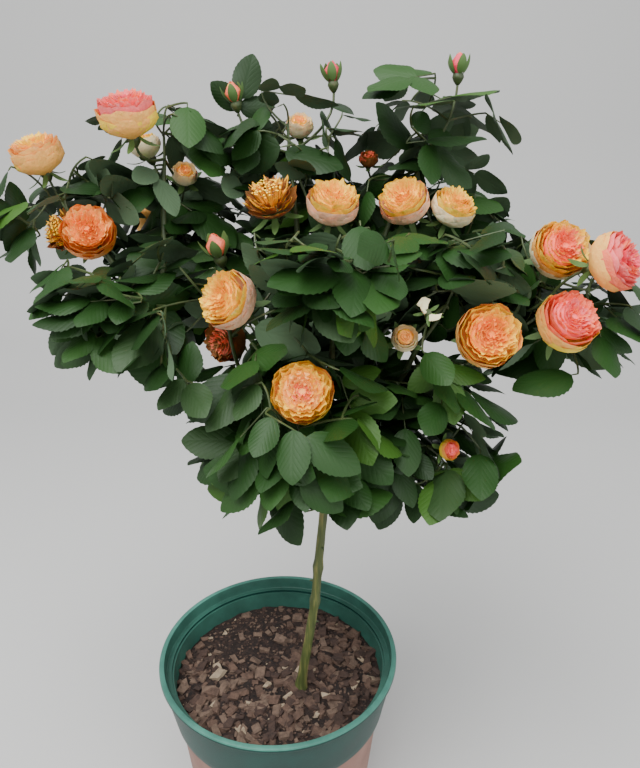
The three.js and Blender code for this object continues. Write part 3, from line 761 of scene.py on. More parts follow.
def pot_body():
    """Tapered beige shell with a foot ring, a flat floor and a flange under the collar."""
    flange_foot = BODY_TOP - WALL
    flange_edge = BODY_TOP_RADIUS + FLANGE
    outside = [(AXIS_GAP, FLOOR), (AXIS_GAP, 0)]
    outside += [(FOOT_RADIUS - inset, height) for inset, height in FOOT_ROWS]
    outside += [(body_radius(height) - cut, height) for height, cut in SIDE_ROWS]
    outside += [(body_radius(flange_foot), flange_foot), (flange_edge, flange_foot)]
    inside = [(flange_edge, BODY_TOP), (BODY_TOP_RADIUS - WALL, BODY_TOP)]
    inside += [(body_radius(FLOOR) - WALL, FLOOR), (AXIS_GAP, FLOOR)]
    beige = moulded_plastic("beige_plastic", BEIGE, "beige")
    # The body's inner wall is the pot's green, painted lighter as if lit from above.
    plastics = [beige, green_plastic("inner_green_painted_light", POT_GREENS_AND_PAINTED_LIGHT["inside"])]
    pile = turned_pile([outside, inside])
    piece = pile.piece("pot_lower_shell", "pot_body_plastic", plastics, sharp=30)
    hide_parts("pot_body")


def pot_collar():
    """Green collar: rolled lip with a painted highlight in a paler green, flared skirt, and an inner wall
    down to a ledge, painted lighter as if lit from above.
    """
    lip_foot = POT_HEIGHT - LIP_DEPTH
    lip_inside = RIM_RADIUS - LIP_WIDTH
    seat = BODY_TOP + SEAM
    skirt = [
        (lerp(COLLAR_FOOT_RADIUS, RIM_RADIUS - WALL, share), lerp(COLLAR_FOOT, lip_foot, share))
        for share in np.linspace(SKIRT["start"], 1, SKIRT["rows"])
    ]
    outside = [(BODY_TOP_RADIUS, LEDGE_TOP), (BODY_TOP_RADIUS, seat), (skirt[-2][0] - WALL, seat)]
    outside += [(COLLAR_FOOT_RADIUS - inset, COLLAR_FOOT + rise) for inset, rise in COLLAR_FOOT_ROWS]
    outside += skirt
    outside += [(RIM_RADIUS - inset, lip_foot + rise) for inset, rise in LIP_FOOT_ROWS]
    outer_edge = [(RIM_RADIUS - inset, POT_HEIGHT - drop) for inset, drop in LIP_OUTSIDE]
    inner_edge = [(lip_inside + out, POT_HEIGHT - drop) for out, drop in LIP_INSIDE]
    ledge = [(lip_inside - inset, LEDGE_TOP + rise) for inset, rise in LEDGE_ROWS]
    pile = turned_pile([
        outside + outer_edge[:1],
        outer_edge[1:] + inner_edge[:-1],
        inner_edge[-1:] + ledge + [(BODY_TOP_RADIUS, LEDGE_TOP)],
    ])
    # The lip's green is a painted highlight, and the inside's green is painted light.
    plastics = [green_plastic(f"collar_{part}", colour) for part, colour in POT_GREENS_AND_PAINTED_LIGHT.items()]
    piece = pile.piece("pot_green_collar", "pot_collar_plastic", plastics, sharp=35)
    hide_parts("pot_collar")


# Potting mix

def soil_height(x, y):
    """Height of the mix: low hummocks, and fine lumps."""
    hummocks = noise.noise(Vector((x / HUMMOCK["length"], y / HUMMOCK["length"], HUMMOCK["layer"])))
    place = Vector((x / LUMP["length"], y / LUMP["length"], LUMP["layer"]))
    lumps = noise.fractal(place, *LUMP_OCTAVES)
    return SOIL_LEVEL + SOIL_RELIEF * (HUMMOCK["share"] * hummocks + LUMP["share"] * lumps) - 1


def potting_mix():
    """Mix that fills the pot body, with an uneven crumbly top."""
    edge = body_radius(SOIL_LEVEL) - WALL - SEAM
    foot = FLOOR + SEAM
    outline = [(AXIS_GAP, foot), (body_radius(foot) - WALL - SEAM, foot)]
    for i in range(SOIL_RINGS + 1):
        outline.append((edge * math.sqrt(1 - i / SOIL_RINGS) + AXIS_GAP, SOIL_LEVEL))
    corners, faces = lathe(outline)
    for corner in corners[2 * POT_SEGMENTS:]:
        corner[2] = soil_height(corner[0], corner[1])
    pile = Pile()
    pile.add(corners, faces, 0)
    piece = pile.piece("potting_mix_surface", "bark_mix", [earthy("peat", PEAT, "peat")])
    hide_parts("potting_mix")


def chip(chance, size):
    """An angular flake: a box whose corners are pulled in unevenly."""
    corners = np.array([[x, y, z] for x in (-1, 1) for y in (-1, 1) for z in (-1, 1)], float)
    pull = np.array([[chance.uniform(*CHIP_SHAPE["corner"]) for _ in range(3)] for _ in corners])
    return corners * pull * np.array(size) / 2


BOX_FACES = np.array([
    (0, 1, 3), (0, 3, 2), (4, 6, 7), (4, 7, 5), (0, 4, 5), (0, 5, 1),
    (2, 3, 7), (2, 7, 6), (0, 2, 6), (0, 6, 4), (1, 5, 7), (1, 7, 3),
])


def lay(corners, place, turns):
    """A flake turned about each of the three axes in turn and put in its place."""
    for axis, angle in zip(np.eye(3), turns):
        corners = np.array([turned(corner, axis, angle) for corner in corners])
    return corners + place


def bark_chips():
    """Bark chips of several sizes, few and small where the mix lies bare at the back left."""
    chance = random.Random(CHIP_SEED)
    pile = Pile()
    for i in range(CHIP_COUNT + CRUMB_COUNT):
        kind = "crumb" if i >= CHIP_COUNT else "chip"
        away = CHIP_FIELD * math.sqrt(chance.random())
        around = chance.uniform(0, 2 * math.pi)
        x, y = away * math.cos(around), away * math.sin(around)
        length = chance.uniform(*CHIP_LENGTHS[kind])
        turn = chance.uniform(0, 2 * math.pi)
        tilt = (chance.gauss(0, CHIP_TILT), chance.gauss(0, CHIP_TILT))
        dealt = chance.random()
        width = length * chance.uniform(*CHIP_SHAPE["width"])
        thickness = length * chance.uniform(*CHIP_SHAPE["thickness"])
        shape = chip(chance, (length, width, thickness))
        near_stem = math.dist((x, y), STEM_ROUTE[0][:2]) < CHIP_FREE_RADIUS
        on_bare = math.dist((x, y), BARE_PATCH["place"]) < BARE_PATCH["radius"]
        if near_stem or (on_bare and kind == "chip" and dealt < BARE_PATCH["share"]):
            continue
        tone = sum(dealt >= share for share, _, _ in BARK_TONES.values())
        place = np.array([x, y, soil_height(x, y) + thickness * CHIP_SHAPE["sunk"]])
        pile.add(lay(shape, place, (*tilt, turn)), BOX_FACES, tone)
    tones = [
        earthy(name, list(zip(TONE_PLACES, colours)), "bark")
        for name, (_, *colours) in BARK_TONES.items()
    ]
    pile.piece("bark_chips", "bark_mix", tones, sharp=20)


# Trunk and boughs

def stem_curve():
    """Smooth places through the stem's route."""
    route = [np.array(place, float) for place in STEM_ROUTE]
    knots = [2 * route[0] - route[1], *route, 2 * route[-1] - route[-2]]
    places = []
    for p0, p1, p2, p3 in zip(knots, knots[1:], knots[2:], knots[3:]):
        for t in np.linspace(0, 1, STEPS["route"], endpoint=False):
            bends = 2 * p1 + (p2 - p0) * t + (2 * p0 - 5 * p1 + 4 * p2 - p3) * t ** 2
            places.append(0.5 * (bends + (3 * p1 - p0 - 3 * p2 + p3) * t ** 3))
    return np.array([*places, route[-1]])


def stem_radius(share, length):
    flare = STEM_FLARE["extra"] * math.exp(-share * length / STEM_FLARE["height"])
    heights = [(share - at) * length / STEM_KNOTS["height"] for at in STEM_KNOTS["fractions"]]
    swelling = STEM_KNOTS["extra"] * sum(math.exp(-(height ** 2)) for height in heights)
    return lerp(STEM_RADIUS["foot"], STEM_RADIUS["top"], share) + flare + swelling


def bough_places(mass, parent):
    """A bough leaves its parent outwards, bends up, and ends inside its mass's ball."""
    start = place_on(parent, mass["fork"])
    centre = np.array(mass["centre"], float)
    end = centre + unit(start - centre) * BOUGH_END * mass["reach"]
    shares = np.array([BOUGH_BEND["outwards"], BOUGH_BEND["outwards"], BOUGH_BEND["up"]])
    return even_places(quadratic(start, lerp(start, end, shares), end), BOUGH_STEPS)


def roughened(limb, core, depth):
    """A limb whose corners are moved in and out from its core by long noise, as bark is."""
    corners, faces = limb
    for corner in corners:
        outward = corner - core[np.argmin(np.linalg.norm(core - corner, axis=1))]
        push = noise.noise(Vector(corner / BARK_GRAIN))
        corner += outward / max(np.linalg.norm(outward), 1e-6) * depth * push
    return corners, faces


def thorn(pile, place, outward):
    """A hooked thorn on a broad foot."""
    tip = place + outward * THORN["length"] - UP * THORN["length"] * THORN["hook"]
    middle = place + outward * THORN["length"] * THORN["middle"]
    root = place - outward * THORN["root"]
    pile.add(*tube([root, middle, tip], THORN_RADII, SIDES["thorn"]), 1)


def stem_and_boughs():
    """The bark of the trunk and of every bough, and the limbs' places for what grows on them."""
    places = stem_curve()
    length = np.linalg.norm(np.diff(places, axis=0), axis=1).sum()
    radii = [stem_radius(share, length) for share in np.linspace(0, 1, len(places))]
    pile = Pile()
    core = resampled(places, STEPS["stem"])
    stem = tube(core, eased(radii, STEPS["stem"]), SIDES["stem"])
    pile.add(*roughened(stem, core, BARK_DEPTH["stem"]), 0)
    rows = np.array([place_on(places, share) + UP * rise for share, rise, _ in HEAD_ROWS])
    radii = eased([radius for _, _, radius in HEAD_ROWS], STEPS["head"])
    head = tube(resampled(rows, STEPS["head"]), radii, SIDES["head"])
    pile.add(*roughened(head, places, BARK_DEPTH["head"]), 0)
    routes = {"trunk": places}
    for mass in MASSES:
        route = bough_places(mass, routes[mass["from"]])
        routes[mass["name"]] = route
        foot = BOUGH_RADIUS["from_head" if mass["from"] == "trunk" else "from_bough"]
        core = resampled(route, STEPS["bough"])
        bough = tube(core, eased([foot, BOUGH_RADIUS["tip"]], STEPS["bough"]), SIDES["bough"])
        pile.add(*roughened(bough, core, BARK_DEPTH["bough"]), 1)
        chord = route[-1] - route[0]
        span = np.linalg.norm(chord)
        for i in range(int(span / THORN_ROW["spacing"])):
            share = min((i + THORN_ROW["first"]) * THORN_ROW["spacing"] / span, THORN_ROW["last"])
            turn = i * GOLDEN_ANGLE
            outward = unit(np.cross(chord, [math.cos(turn), math.sin(turn), 0.3]))
            thorn(pile, place_on(route, share) + outward * BOUGH_RADIUS["bark"], outward)
    for i, share in enumerate(STEM_THORNS):
        turn = i * GOLDEN_ANGLE + 0.4
        outward = np.array([math.cos(turn), math.sin(turn), 0])
        thorn(pile, place_on(places, share) + outward * STEM_RADIUS["bark"], outward)
    barks = [young_bark("stem_bark", STEM_BARK), young_bark("green_twig", TWIG_BARK)]
    piece = pile.piece("stem_and_boughs", "green_bark", barks, sharp=60)
    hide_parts("trunk", *[f"bough_{mass['name']}" for mass in MASSES])
    return routes


# Leaves

def half_width(share):
    """Half of a leaflet's width: a round base, widest before the middle, a short point."""
    outline = share ** LEAF_OUTLINE["base"] * (1 - share) ** LEAF_OUTLINE["tip"]
    return 0.5 * outline / LEAF_OUTLINE["peak"]


def leaflet_template():
    """A serrated blade one long and one wide: corners (x, y, side of the skin) and faces.
    Each tooth is a notch and a point on the margin, which the two skins share."""
    index = {}

    def corner(row, k, side, skin):
        further, aside, thickness = BLADE_ROWS[row]
        share = (k + further) / TEETH
        depth = skin * thickness if 0 < share < 1 else 0
        return index.setdefault((share, side * aside * half_width(share), depth), len(index))

    faces = []
    for side in (1, -1):
        for skin in (1, -1):
            for k in range(TEETH):
                middle, next_middle = corner("middle", k, side, skin), corner("middle", k + 1, side, skin)
                inner, next_inner = corner("inner", k, side, skin), corner("inner", k + 1, side, skin)
                notch, next_notch = corner("notch", k, side, skin), corner("notch", k + 1, side, skin)
                tooth = corner("tooth", k, side, skin)
                patch = [
                    (middle, next_middle, next_inner), (middle, next_inner, inner),
                    (notch, inner, tooth), (inner, next_inner, tooth), (next_inner, next_notch, tooth),
                ]
                for a, b, c in patch:
                    if len({a, b, c}) == 3:
                        faces.append(((a, b, c) if side * skin > 0 else (a, c, b), skin))
    triangles = np.array([face for face, _ in faces])
    skins = np.array([skin for _, skin in faces])
    return np.array(list(index), float), triangles, skins


LEAF_CORNERS, LEAF_FACES, LEAF_SKINS = leaflet_template()


def bent_blade(blade, width, rise, thickness):
    """The template's corners laid along a blade, raised from its plane."""
    root, along, normal, length = blade
    x, y, skin = LEAF_CORNERS.T
    corners = root + (x * length)[:, None] * along
    corners = corners + (y * width * length)[:, None] * np.cross(normal, along)
    return corners + (rise * length + skin * thickness / 2)[:, None] * normal


def add_leaflet(pile, blade, tint, chance):
    """One leaflet: folded along its middle, drooping at its tip and a little twisted."""
    fold, droop, twist, wave = [chance.uniform(*limits) for limits in CURL.values()]
    x, y, _ = LEAF_CORNERS.T
    side = y * LEAFLET["width"]
    rise = fold * np.abs(side) - HOLLOW * side ** 2 - droop * x ** 2 + twist * x * side
    rise = rise + wave * np.sin(WAVES * x) * np.abs(side) * 2
    corners = bent_blade(blade, LEAFLET["width"], rise, LEAFLET["thickness"])
    finish = np.where(LEAF_SKINS > 0, tint, len(LEAF_GREENS))
    pile.add(corners, LEAF_FACES, finish, np.column_stack([x, y]))


CENTRES = np.array([mass["centre"] for mass in MASSES], float)
REACHES = np.array([mass["reach"] for mass in MASSES], float)


def in_space(mass, points, overhang):
    """Which points lie in the mass's reach and not far into another mass's space."""
    own = MASSES.index(mass)
    squares = ((points[:, None] - CENTRES[None]) ** 2).sum(axis=2)
    power = squares - REACHES ** 2
    apart = np.linalg.norm(CENTRES - CENTRES[own], axis=1)
    apart[own] = 1
    into = (power[:, own, None] - power) / (2 * apart)
    into[:, own] = 0
    within = squares[:, own] < (mass["reach"] + EDGE) ** 2
    below = points[:, 2] < LEAF_TOPS.get(mass["name"], np.inf)
    return within & below & (into.max(axis=1) < overhang)


def clear_of(points, others, distance):
    """Which points keep a distance from all the others."""
    if len(others) == 0:
        return np.ones(len(points), bool)
    squares = (points ** 2).sum(axis=1)[:, None] + (others ** 2).sum(axis=1)[None]
    return (squares - 2 * points @ others.T).min(axis=1) > distance ** 2


def rose_sights():
    """Lines that leaves keep clear of: each rose as seen from the camera, or from where it
    faces, and its share of the light from above. Each is a place, a width and a direction."""
    sights = []
    for mass in MASSES:
        for _, place, width, facing, _ in mass["roses"]:
            seen = unit(EYE - place)
            seen = seen if np.dot(unit(facing), seen) > BACK_FACING else unit(facing)
            sights.append((place, max(width, LEAST_SIGHT), seen))
            sights.append((place, width * LIGHT_SHARE, unit(unit(facing) + UP)))
    places, widths, directions = zip(*sights)
    return np.array(places, float), np.array(widths, float), np.array(directions)


ROSE_PLACES, ROSE_WIDTHS, ROSE_SIGHTS = rose_sights()


def roses_in_view(points, kind):
    """Which points of that kind of thing don't stand before a rose."""
    start, clearance = SIGHT_SHARES[kind]
    ahead = points[:, None] - ROSE_PLACES[None]
    along = np.clip((ahead * ROSE_SIGHTS).sum(axis=2), start * ROSE_WIDTHS, SIGHT_LENGTH)
    off = np.linalg.norm(ahead - along[:, :, None] * ROSE_SIGHTS, axis=2)
    return (off > clearance * ROSE_WIDTHS).all(axis=1)


def key_points(blade):
    """Places that stand for a leaflet when it is tested: along its middle and at its sides."""
    root, along, normal, length = blade
    across = np.cross(normal, along) * LEAFLET["width"] * length * KEY_SHARES["aside"]
    spine = [root + along * length * share for share in KEY_SHARES["along"]]
    return np.array(spine + [spine[1] + across, spine[1] - across])


def leaf_pose(outward, chance):
    """The way a leaf points and faces: out from its shoot and drooping, more so lower down."""
    aside = np.array([-outward[1], outward[0], 0]) * LEAF_DROOP["aside"] * chance.uniform(-1, 1)
    sink = LEAF_DROOP["level"] + LEAF_DROOP["rise"] * outward[2] + chance.gauss(0, LEAF_DROOP["spread"])
    along = unit(np.array([outward[0], outward[1], 0]) + aside + UP * sink)
    scatter = np.array([chance.gauss(0, LEAF_FACING["spread"]) for _ in range(3)])
    facing = UP * LEAF_FACING["up"] + outward * LEAF_FACING["out"] + scatter
    return along, unit(facing - along * np.dot(facing, along))


def compound_leaf(kind, pose, chance):
    """A compound leaf about its own middle, at full size."""
    along, normal = pose
    half = (kind["tip"] + LEAFLET["length"]) / 2
    blades = [(along * (kind["tip"] - half), along, normal, LEAFLET["length"])]
    for pair in kind["pairs"]:
        for side in (1, -1):
            direction = turned(along, normal, side * pair["spread"])
            facing = turned(normal, direction, chance.gauss(0, LEAFLET["roll"]))
            root = along * (pair["at"] - half)
            blades.append((root, direction, facing, LEAFLET["length"] * pair["size"]))
    return {"tip": along * (kind["tip"] - half), "along": along, "blades": blades}


def fitting_form(mass, kind, outward, leaf, grown, limbs):
    """The first form in which a leaf fits, its middle and which leaflets fit, or None."""
    points = np.concatenate([key_points(blade) for blade in leaf["blades"]])
    centre = np.array(mass["centre"])
    middles = np.array([centre + outward * shell * mass["reach"] for _, shell in kind["forms"]])
    sizes = np.array([size for size, _ in kind["forms"]])
    tried = (middles[:, None] + sizes[:, None, None] * points).reshape(-1, 3)
    fits = in_space(mass, tried, kind["overhang"])
    fits[fits] = roses_in_view(tried[fits], "leaf")
    fits[fits] = clear_of(tried[fits], grown, kind["clearance"])
    fits[fits] = clear_of(tried[fits], limbs, LIMB_CLEARANCE)
    whole = fits.reshape(len(sizes), len(leaf["blades"]), -1).all(axis=2)
    enough = whole[:, 0] & (whole.sum(axis=1) >= kind["fewest"])
    first = int(enough.argmax())
    return (first, middles[first], whole[first]) if enough[first] else None


def grow_leaf(mass, kind, outward, chance, grown, limbs):
    """Of several poses of a leaf, the one that fits farthest out, fullest and largest."""
    best = None
    for _ in range(LEAF_POSES):
        leaf = compound_leaf(kind, leaf_pose(outward, chance), chance)
        found = fitting_form(mass, kind, outward, leaf, grown, limbs)
        if found is None:
            continue
        form, middle, whole = found
        rank = (form, -whole.sum())
        if best is None or rank < best[0]:
            best = (rank, leaf, middle, whole, kind["forms"][form][0])
    if best is None:
        return None
    _, leaf, middle, whole, size = best
    kept = [blade for blade, fits in zip(leaf["blades"], whole) if fits]
    first = min(np.dot(root, leaf["along"]) for root, _, _, _ in kept) - BARE_STALK
    return {
        "base": middle + size * first * leaf["along"],
        "tip": middle + size * leaf["tip"],
        "along": leaf["along"],
        "blades": [(middle + size * root, way, face, size * length) for root, way, face, length in kept],
    }


def spread_direction(i, first_share):
    """Directions spread evenly over a ball, all but straight down."""
    height = 1 - SPREAD["range"] * ((first_share + i * SPREAD["height"]) % 1)
    angle = 2 * math.pi * (first_share + i * SPREAD["turn"])
    flat = math.sqrt(1 - height ** 2)
    return np.array([flat * math.cos(angle), flat * math.sin(angle), height])


def dealt_green(chance):
    """A green for one spray, by how often each is dealt."""
    return chance.choices(range(len(LEAF_GREENS)), [share for share, _ in LEAF_GREENS])[0]


# Roses

def petal_template():
    """A petal's grid: across from -1 to 1, up from 0 to 1, and the side of the skin."""
    columns, rows = PETAL_GRID

    def key(row, column, skin):
        border = row in (0, rows) or column in (0, columns)
        return (row, column, 0 if border else skin)

    spots = [(row, column) for row in range(rows + 1) for column in range(columns + 1)]
    keys = list(dict.fromkeys(key(*spot, skin) for skin in (1, -1) for spot in spots))
    corners = [(2 * column / columns - 1, row / rows, skin) for row, column, skin in keys]
    faces = []
    for skin in (1, -1):
        for row in range(rows):
            for column in range(columns):
                around = ((row, column), (row, column + 1), (row + 1, column + 1), (row + 1, column))
                quad = [keys.index(key(*spot, skin)) for spot in around][::skin]
                faces += [(quad[0], quad[1], quad[2]), (quad[0], quad[2], quad[3])]
    return np.array(corners, float), np.array(faces)


PETAL_CORNERS, PETAL_FACES = petal_template()
AT_RIM = PETAL_CORNERS[PETAL_FACES][:, :, 1].min(axis=1) > RIM_SHARE


def scattered(chance, kind):
    """A random deviation to either side."""
    return chance.uniform(-PETAL_SCATTER[kind], PETAL_SCATTER[kind])


def petal(ring, turn, width, chance, crumple):
    """One petal of a ring, cupped round the axis, ruffled at its rim. Axis along +Z."""
    across, up, skin = PETAL_CORNERS.T
    rise = up * (1 - PETAL["rounding"] * across ** 2 - PETAL["uneven"] * chance.random())
    span = ring["span"] * lerp(PETAL["foot_span"], 1, np.sin(0.5 * math.pi * up ** 0.7))
    lean = scattered(chance, "lean") * crumple
    angle = turn + span * across + lean * rise
    waves = chance.uniform(*PETAL["waves"]) * across + chance.uniform(0, 6.3)
    ruffle = crumple * rise ** 2 * np.sin(waves)
    flare = PETAL["flare"] * np.maximum(rise - PETAL["flare_from"], 0) * crumple
    roll = PETAL["roll"] * np.maximum(rise - PETAL["roll_from"], 0)
    radius = lerp(ring["foot"][0], ring["rim"][0], rise ** 0.8) + ring["bulge"] * np.sin(math.pi * rise)
    radius = radius + PETAL["ruffle_out"] * ruffle + flare
    rim_height = ring["rim"][1] + scattered(chance, "height") * crumple
    height = lerp(ring["foot"][1], rim_height, rise)
    height = height + PETAL["ruffle_up"] * ruffle - roll
    reach = np.maximum(radius, PETAL["least"]) * width + skin * PETAL_THICKNESS / 2
    return np.column_stack([reach * np.cos(angle), reach * np.sin(angle), height * width])


def frame_of(facing):
    """Three directions, the last along facing."""
    facing = unit(facing)
    aside = unit(np.cross(NEVER_FACED, facing))
    return np.array([aside, np.cross(facing, aside), facing])


def add_rose(pile, hips, bloom, chance):
    """The petals of one rose, and on the green pile its hip and sepals."""
    form, place, width, facing, colours = bloom
    dealt, rim = BLOOM_COLOURS[colours]
    axes = frame_of(facing)
    rings = PETAL_RINGS[form]
    for depth, ring in enumerate(rings):
        first = chance.uniform(0, 2 * math.pi)
        at = depth / max(len(rings) - 1, 1) * (len(dealt) - 1)
        for i in range(ring["count"]):
            turn = first + 2 * math.pi * i / ring["count"] + scattered(chance, "turn")
            nearest = int(np.clip(round(at + scattered(chance, "tint")), 0, len(dealt) - 1))
            rimmed = AT_RIM & (1 < depth < len(rings) / 2)
            tints = np.where(rimmed, TINTS[rim], TINTS[dealt[nearest]])
            corners = petal(ring, turn, width, chance, FORMS[form]["crumple"])
            pile.add(place + corners @ axes, PETAL_FACES, tints)
    if form == "spent":
        add_stamens(pile, place, width, axes, chance)
    elif form != "last":
        add_heart(pile, place, width, axes, rings, TINTS[dealt[-2]])
    add_hip(hips, bloom, axes, chance)


def add_heart(pile, place, width, axes, rings, tint):
    """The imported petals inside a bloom, as one dome just under the rims."""
    inner = rings[len(rings) // 3:]
    waist, waist_height = HEART["waist"]
    profile = [HEART["foot"], (inner[0]["rim"][0] * waist, waist_height)]
    for ring in inner:
        radius, height = ring["rim"]
        height = max(height - HEART["depth"], profile[-1][1] + HEART["rise"])
        profile.append((radius * HEART["share"], height))
    path = [place + UP * height * width @ axes for _, height in profile]
    pile.add(*tube(path, [radius * width for radius, _ in profile], SIDES["heart"]), tint)


def add_stamens(pile, place, width, axes, chance):
    """A brush of stamens with dry anthers."""
    for i in range(STAMENS["count"]):
        away = STAMENS["radius"] * math.sqrt((i + 0.5) / STAMENS["count"])
        out = np.array([math.cos(i * GOLDEN_ANGLE), math.sin(i * GOLDEN_ANGLE), 0]) * away
        foot = out * STAMENS["gather"] + UP * STAMENS["foot"]
        height = STAMENS["height"] - STAMENS["dome"] * away ** 2 + scattered(chance, "stamen")
        path = [foot, out + UP * height, out + UP * (height + ANTHER_LENGTH)]
        limb = tube([place + spot * width @ axes for spot in path], STAMEN_RADII, SIDES["stamen"])
        pile.add(*limb, TINTS[chance.choice(STAMEN_TINTS)])


def add_hip(pile, bloom, axes, chance):
    """The green hip under a rose and its five sepals."""
    form, place, width, _, _ = bloom
    shape = FORMS[form]
    heights = [shape["top"] - share * shape["length"] for share, _ in HIP_ROWS]
    heights[0] += HIP_OVERLAP
    path = np.array([place + UP * height * width @ axes for height in heights])
    radii = [share * shape["radius"] * width for _, share in HIP_ROWS]
    pile.add(*tube(resampled(path, STEPS["hip"]), eased(radii, STEPS["hip"]), SIDES["hip"]), 0)
    for i in range(SEPALS["count"]):
        turn = 2 * math.pi * i / SEPALS["count"] + chance.uniform(-SEPALS["turn"], SEPALS["turn"])
        out = np.array([math.cos(turn), math.sin(turn), 0])
        lift = shape["open"] + chance.uniform(-SEPALS["lift"], SEPALS["lift"])
        direction = out * math.cos(lift) + UP * math.sin(lift)
        facing = UP * math.cos(lift) - out * math.sin(lift)
        root = out * shape["radius"] * SEPALS["root"] + UP * shape["top"]
        blade = (place + root * width @ axes, direction @ axes, facing @ axes, shape["sepals"] * width)
        add_sepal(pile, blade, shape["sepal_width"])


def add_sepal(pile, blade, width):
    """A narrow pointed blade whose sides wrap round the bloom."""
    x, y, _ = LEAF_CORNERS.T
    rise = SEPALS["wrap"] * (y * width) ** 2 - SEPALS["bow"] * np.sin(math.pi * x)
    pile.add(bent_blade(blade, width, rise, SEPALS["thickness"]), LEAF_FACES, 1)


# One leafy mass

def rose_stalk(bloom, shoot, limbs):
    """The stalk that carries a rose, from a place on the shoot that leaves it clear."""
    form, place, width, facing, _ = bloom
    up = unit(facing)
    shape = FORMS[form]
    end = np.array(place) + up * (shape["top"] - STALK_END * shape["length"]) * width
    stalks = [bent_places(place_on(shoot, share), end, up, STEPS["stalk"]) for share in STALK_ROOTS]
    clear = [stalk for stalk in stalks if clear_of(stalk[2:], limbs, LIMB_CLEARANCE).all()]
    return clear[0] if clear else stalks[0]


def twig_to(mass, leaf, joints, top):
    """The straightest short twig from a joint to a leaf that leaves the roses in view."""
    def cost(joint):
        reach = leaf["base"] - joint
        turn = 1 - np.dot(unit(reach), leaf["along"])
        length = np.linalg.norm(reach) * (1 + TWIG_COST["turn"] * turn)
        return length + TWIG_COST["top"] * np.linalg.norm(joint - top)

    for joint in sorted(joints, key=cost)[:NEAREST_JOINTS]:
        if np.linalg.norm(leaf["base"] - joint) > LONGEST_TWIG:
            continue
        arriving = unit(unit(leaf["base"] - joint) + TWIG_SWEEP * leaf["along"])
        twig = bent_places(joint, leaf["base"], arriving, STEPS["twig"])
        if roses_in_view(twig[1:], "twig").all() and in_space(mass, twig[3:], TWIG_OVERHANG).all():
            return twig
    return None


def add_lone_leaf(leaves, twigs):
    """A leaf of three that stands upright behind a bud and faces the front."""
    chance = random.Random(FIRST_SEED)
    kind = LEAF_KINDS[1]
    base = np.array(LONE_LEAF["base"], float)
    along = unit(LONE_LEAF["along"])
    facing = unit(EYE - base)
    leaf = compound_leaf(kind, (along, unit(facing - along * np.dot(facing, along))), chance)
    size = LONE_LEAF["size"]
    middle = base + along * size * (kind["tip"] + LEAFLET["length"]) / 2
    tip = middle + size * leaf["tip"]
    twigs.add(*tube([base, lerp(base, tip, 0.5), tip], TWIG_RADIUS["rachis"], SIDES["twig"]), 0)
    for root, way, face, length in leaf["blades"]:
        add_leaflet(leaves, (middle + size * root, way, face, size * length), 0, chance)


def add_leaf_stalk(twigs, twig, leaf):
    """The twig to a leaf and the stalk through its leaflets, as one tapering limb."""
    stalk = np.concatenate([twig, [lerp(leaf["base"], leaf["tip"], share) for share in RACHIS_SHARES]])
    ends = [0, STEPS["twig"], len(stalk) - 1]
    radii = [TWIG_RADIUS[part] for part in ("twig", "rachis", "tip")]
    radii = np.interp(np.arange(len(stalk)), ends, radii)
    twigs.add(*tube(stalk, radii, SIDES["twig"]), 0)


def grow_mass(mass, bough, number, limbs, finishes, grown):
    """Shoot, rose stalks, roses, and leaves on twigs that branch from the shoot.
    grown holds the places of all leaflets so far, and is returned with this mass's."""
    chance = random.Random(FIRST_SEED + number)
    leaves, twigs, roses = Pile(), Pile(), Pile()
    top = np.array(mass["centre"]) + UP * SHOOT_TOP * mass["reach"]
    shoot = bent_places(bough[-1], top, UP, SHOOT_STEPS)
    smooth = bent_places(bough[-1], top, UP, STEPS["shoot"])
    radii = eased([TWIG_RADIUS["shoot"], TWIG_RADIUS["twig"]], STEPS["shoot"])
    twigs.add(*tube(smooth, radii, SIDES["shoot"]), 0)
    joints = [place_on(smooth, share) for share in SHOOT_JOINTS]
    radii = eased([TWIG_RADIUS["stalk"], TWIG_RADIUS["twig"]], STEPS["stalk"])
    for bloom in mass["roses"]:
        stalk = rose_stalk(bloom, shoot, limbs)
        twigs.add(*tube(stalk, radii, SIDES["stalk"]), 0)
        joints += [*stalk[BRANCHING]]
        add_rose(roses, twigs, bloom, chance)
    if mass["name"] == LONE_LEAF["mass"]:
        add_lone_leaf(leaves, twigs)
    near = np.linalg.norm(grown - mass["centre"], axis=1) < mass["reach"] + 2 * EDGE
    around = grown[near]
    own = []
    for kind in LEAF_KINDS:
        first_share = chance.random()
        most = round(kind["most"] * OPEN_MASSES.get(mass["name"], 1))
        count = 0
        for i in range(kind["places"]):
            if count == most:
                break
            outward = spread_direction(i, first_share)
            leaf = grow_leaf(mass, kind, outward, chance, around, limbs)
            twig = twig_to(mass, leaf, joints, top) if leaf else None
            if twig is None:
                continue
            add_leaf_stalk(twigs, twig, leaf)
            joints += [*twig[BRANCHING]]
            tint = dealt_green(chance)
            for blade in leaf["blades"]:
                add_leaflet(leaves, blade, tint, chance)
                own.append(key_points(blade))
                around = np.concatenate([around, own[-1]])
            count += 1
    piece = leaves.piece(f"leaves_{mass['name']}", "foliage", finishes["leaves"])
    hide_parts(f"foliage_{mass['name']}")
    twigs.piece(f"twigs_{mass['name']}", "foliage", finishes["twigs"])
    if mass["roses"]:
        roses.piece(f"roses_{mass['name']}", "foliage", finishes["petals"])
    return np.concatenate([grown] + own)


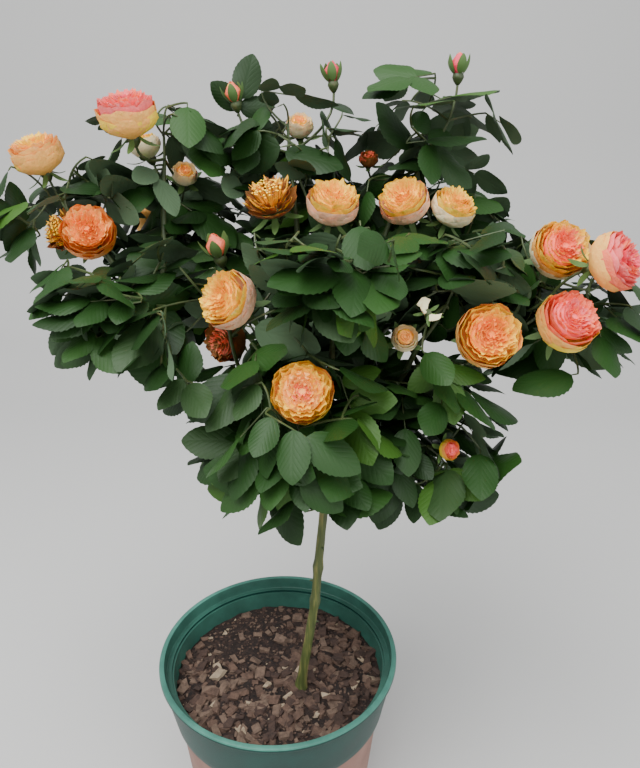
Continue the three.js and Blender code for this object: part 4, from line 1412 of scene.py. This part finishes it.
def crown(routes):
    """All the leafy masses on their boughs."""
    greens = [leaf_skin(f"leaf_green_{i}", green, "leaf") for i, (_, green) in enumerate(LEAF_GREENS)]
    sepal_green = leaf_skin("sepal_green", HIP_GREEN, "sepal")
    finishes = {
        "leaves": [*greens, leaf_skin("leaf_underside", UNDERSIDE_GREEN, "underside")],
        "twigs": [bpy.data.materials["green_twig"], sepal_green],
        "petals": [petal_skin(name, colour) for name, colour in PETAL_COLOURS.items()],
    }
    limbs = np.concatenate([resampled(route, LIMB_SAMPLES) for route in routes.values()])
    grown = np.zeros((0, 3))
    for number, mass in enumerate(MASSES):
        grown = grow_mass(mass, routes[mass["name"]], number, limbs, finishes, grown)


# Stage

def studio():
    """Plain pale floor and backdrop, soft light from above, and the photograph's camera."""
    mesh = bpy.data.meshes.new("floor")
    corners = [(x, y, z) for y, z in FLOOR_PROFILE for x in (-FLOOR_HALF_WIDTH, FLOOR_HALF_WIDTH)]
    faces = [(2 * i, 2 * i + 1, 2 * i + 3, 2 * i + 2) for i in range(len(FLOOR_PROFILE) - 1)]
    mesh.from_pydata(corners, [], faces)
    mesh.shade_smooth()
    material, tree, shader = nodes_of("pale_floor")
    set_inputs(tree, shader, {"Base Color": linear(FLOOR_COLOUR), "Roughness": 0.9})
    mesh.materials.append(material)
    in_scene("floor", mesh)

    world = bpy.data.worlds.new("studio")
    world.use_nodes = True
    sky = world.node_tree.nodes["Background"]
    set_inputs(world.node_tree, sky, {"Color": linear(SKY_COLOUR), "Strength": SKY_STRENGTH})
    bpy.context.scene.world = world

    for name, (place, size, power) in LAMPS.items():
        light = bpy.data.lights.new(name, "AREA")
        light.size = size
        light.energy = power
        lamp = in_scene(name, light)
        lamp.location = place
        lamp.rotation_euler = (LAMP_TARGET - lamp.location).to_track_quat("-Z", "Y").to_euler()

    lens = bpy.data.cameras.new("photo_camera")
    lens.lens = CAMERA["lens"]
    lens.sensor_width = CAMERA["sensor"]
    camera = in_scene("photo_camera", lens)
    camera.location = EYE * MM
    camera.rotation_euler = (math.radians(90 - CAMERA["pitch"]), 0, 0)
    bpy.context.scene.camera = camera


pot_body()
pot_collar()
potting_mix()
bark_chips()
crown(stem_and_boughs())
studio()
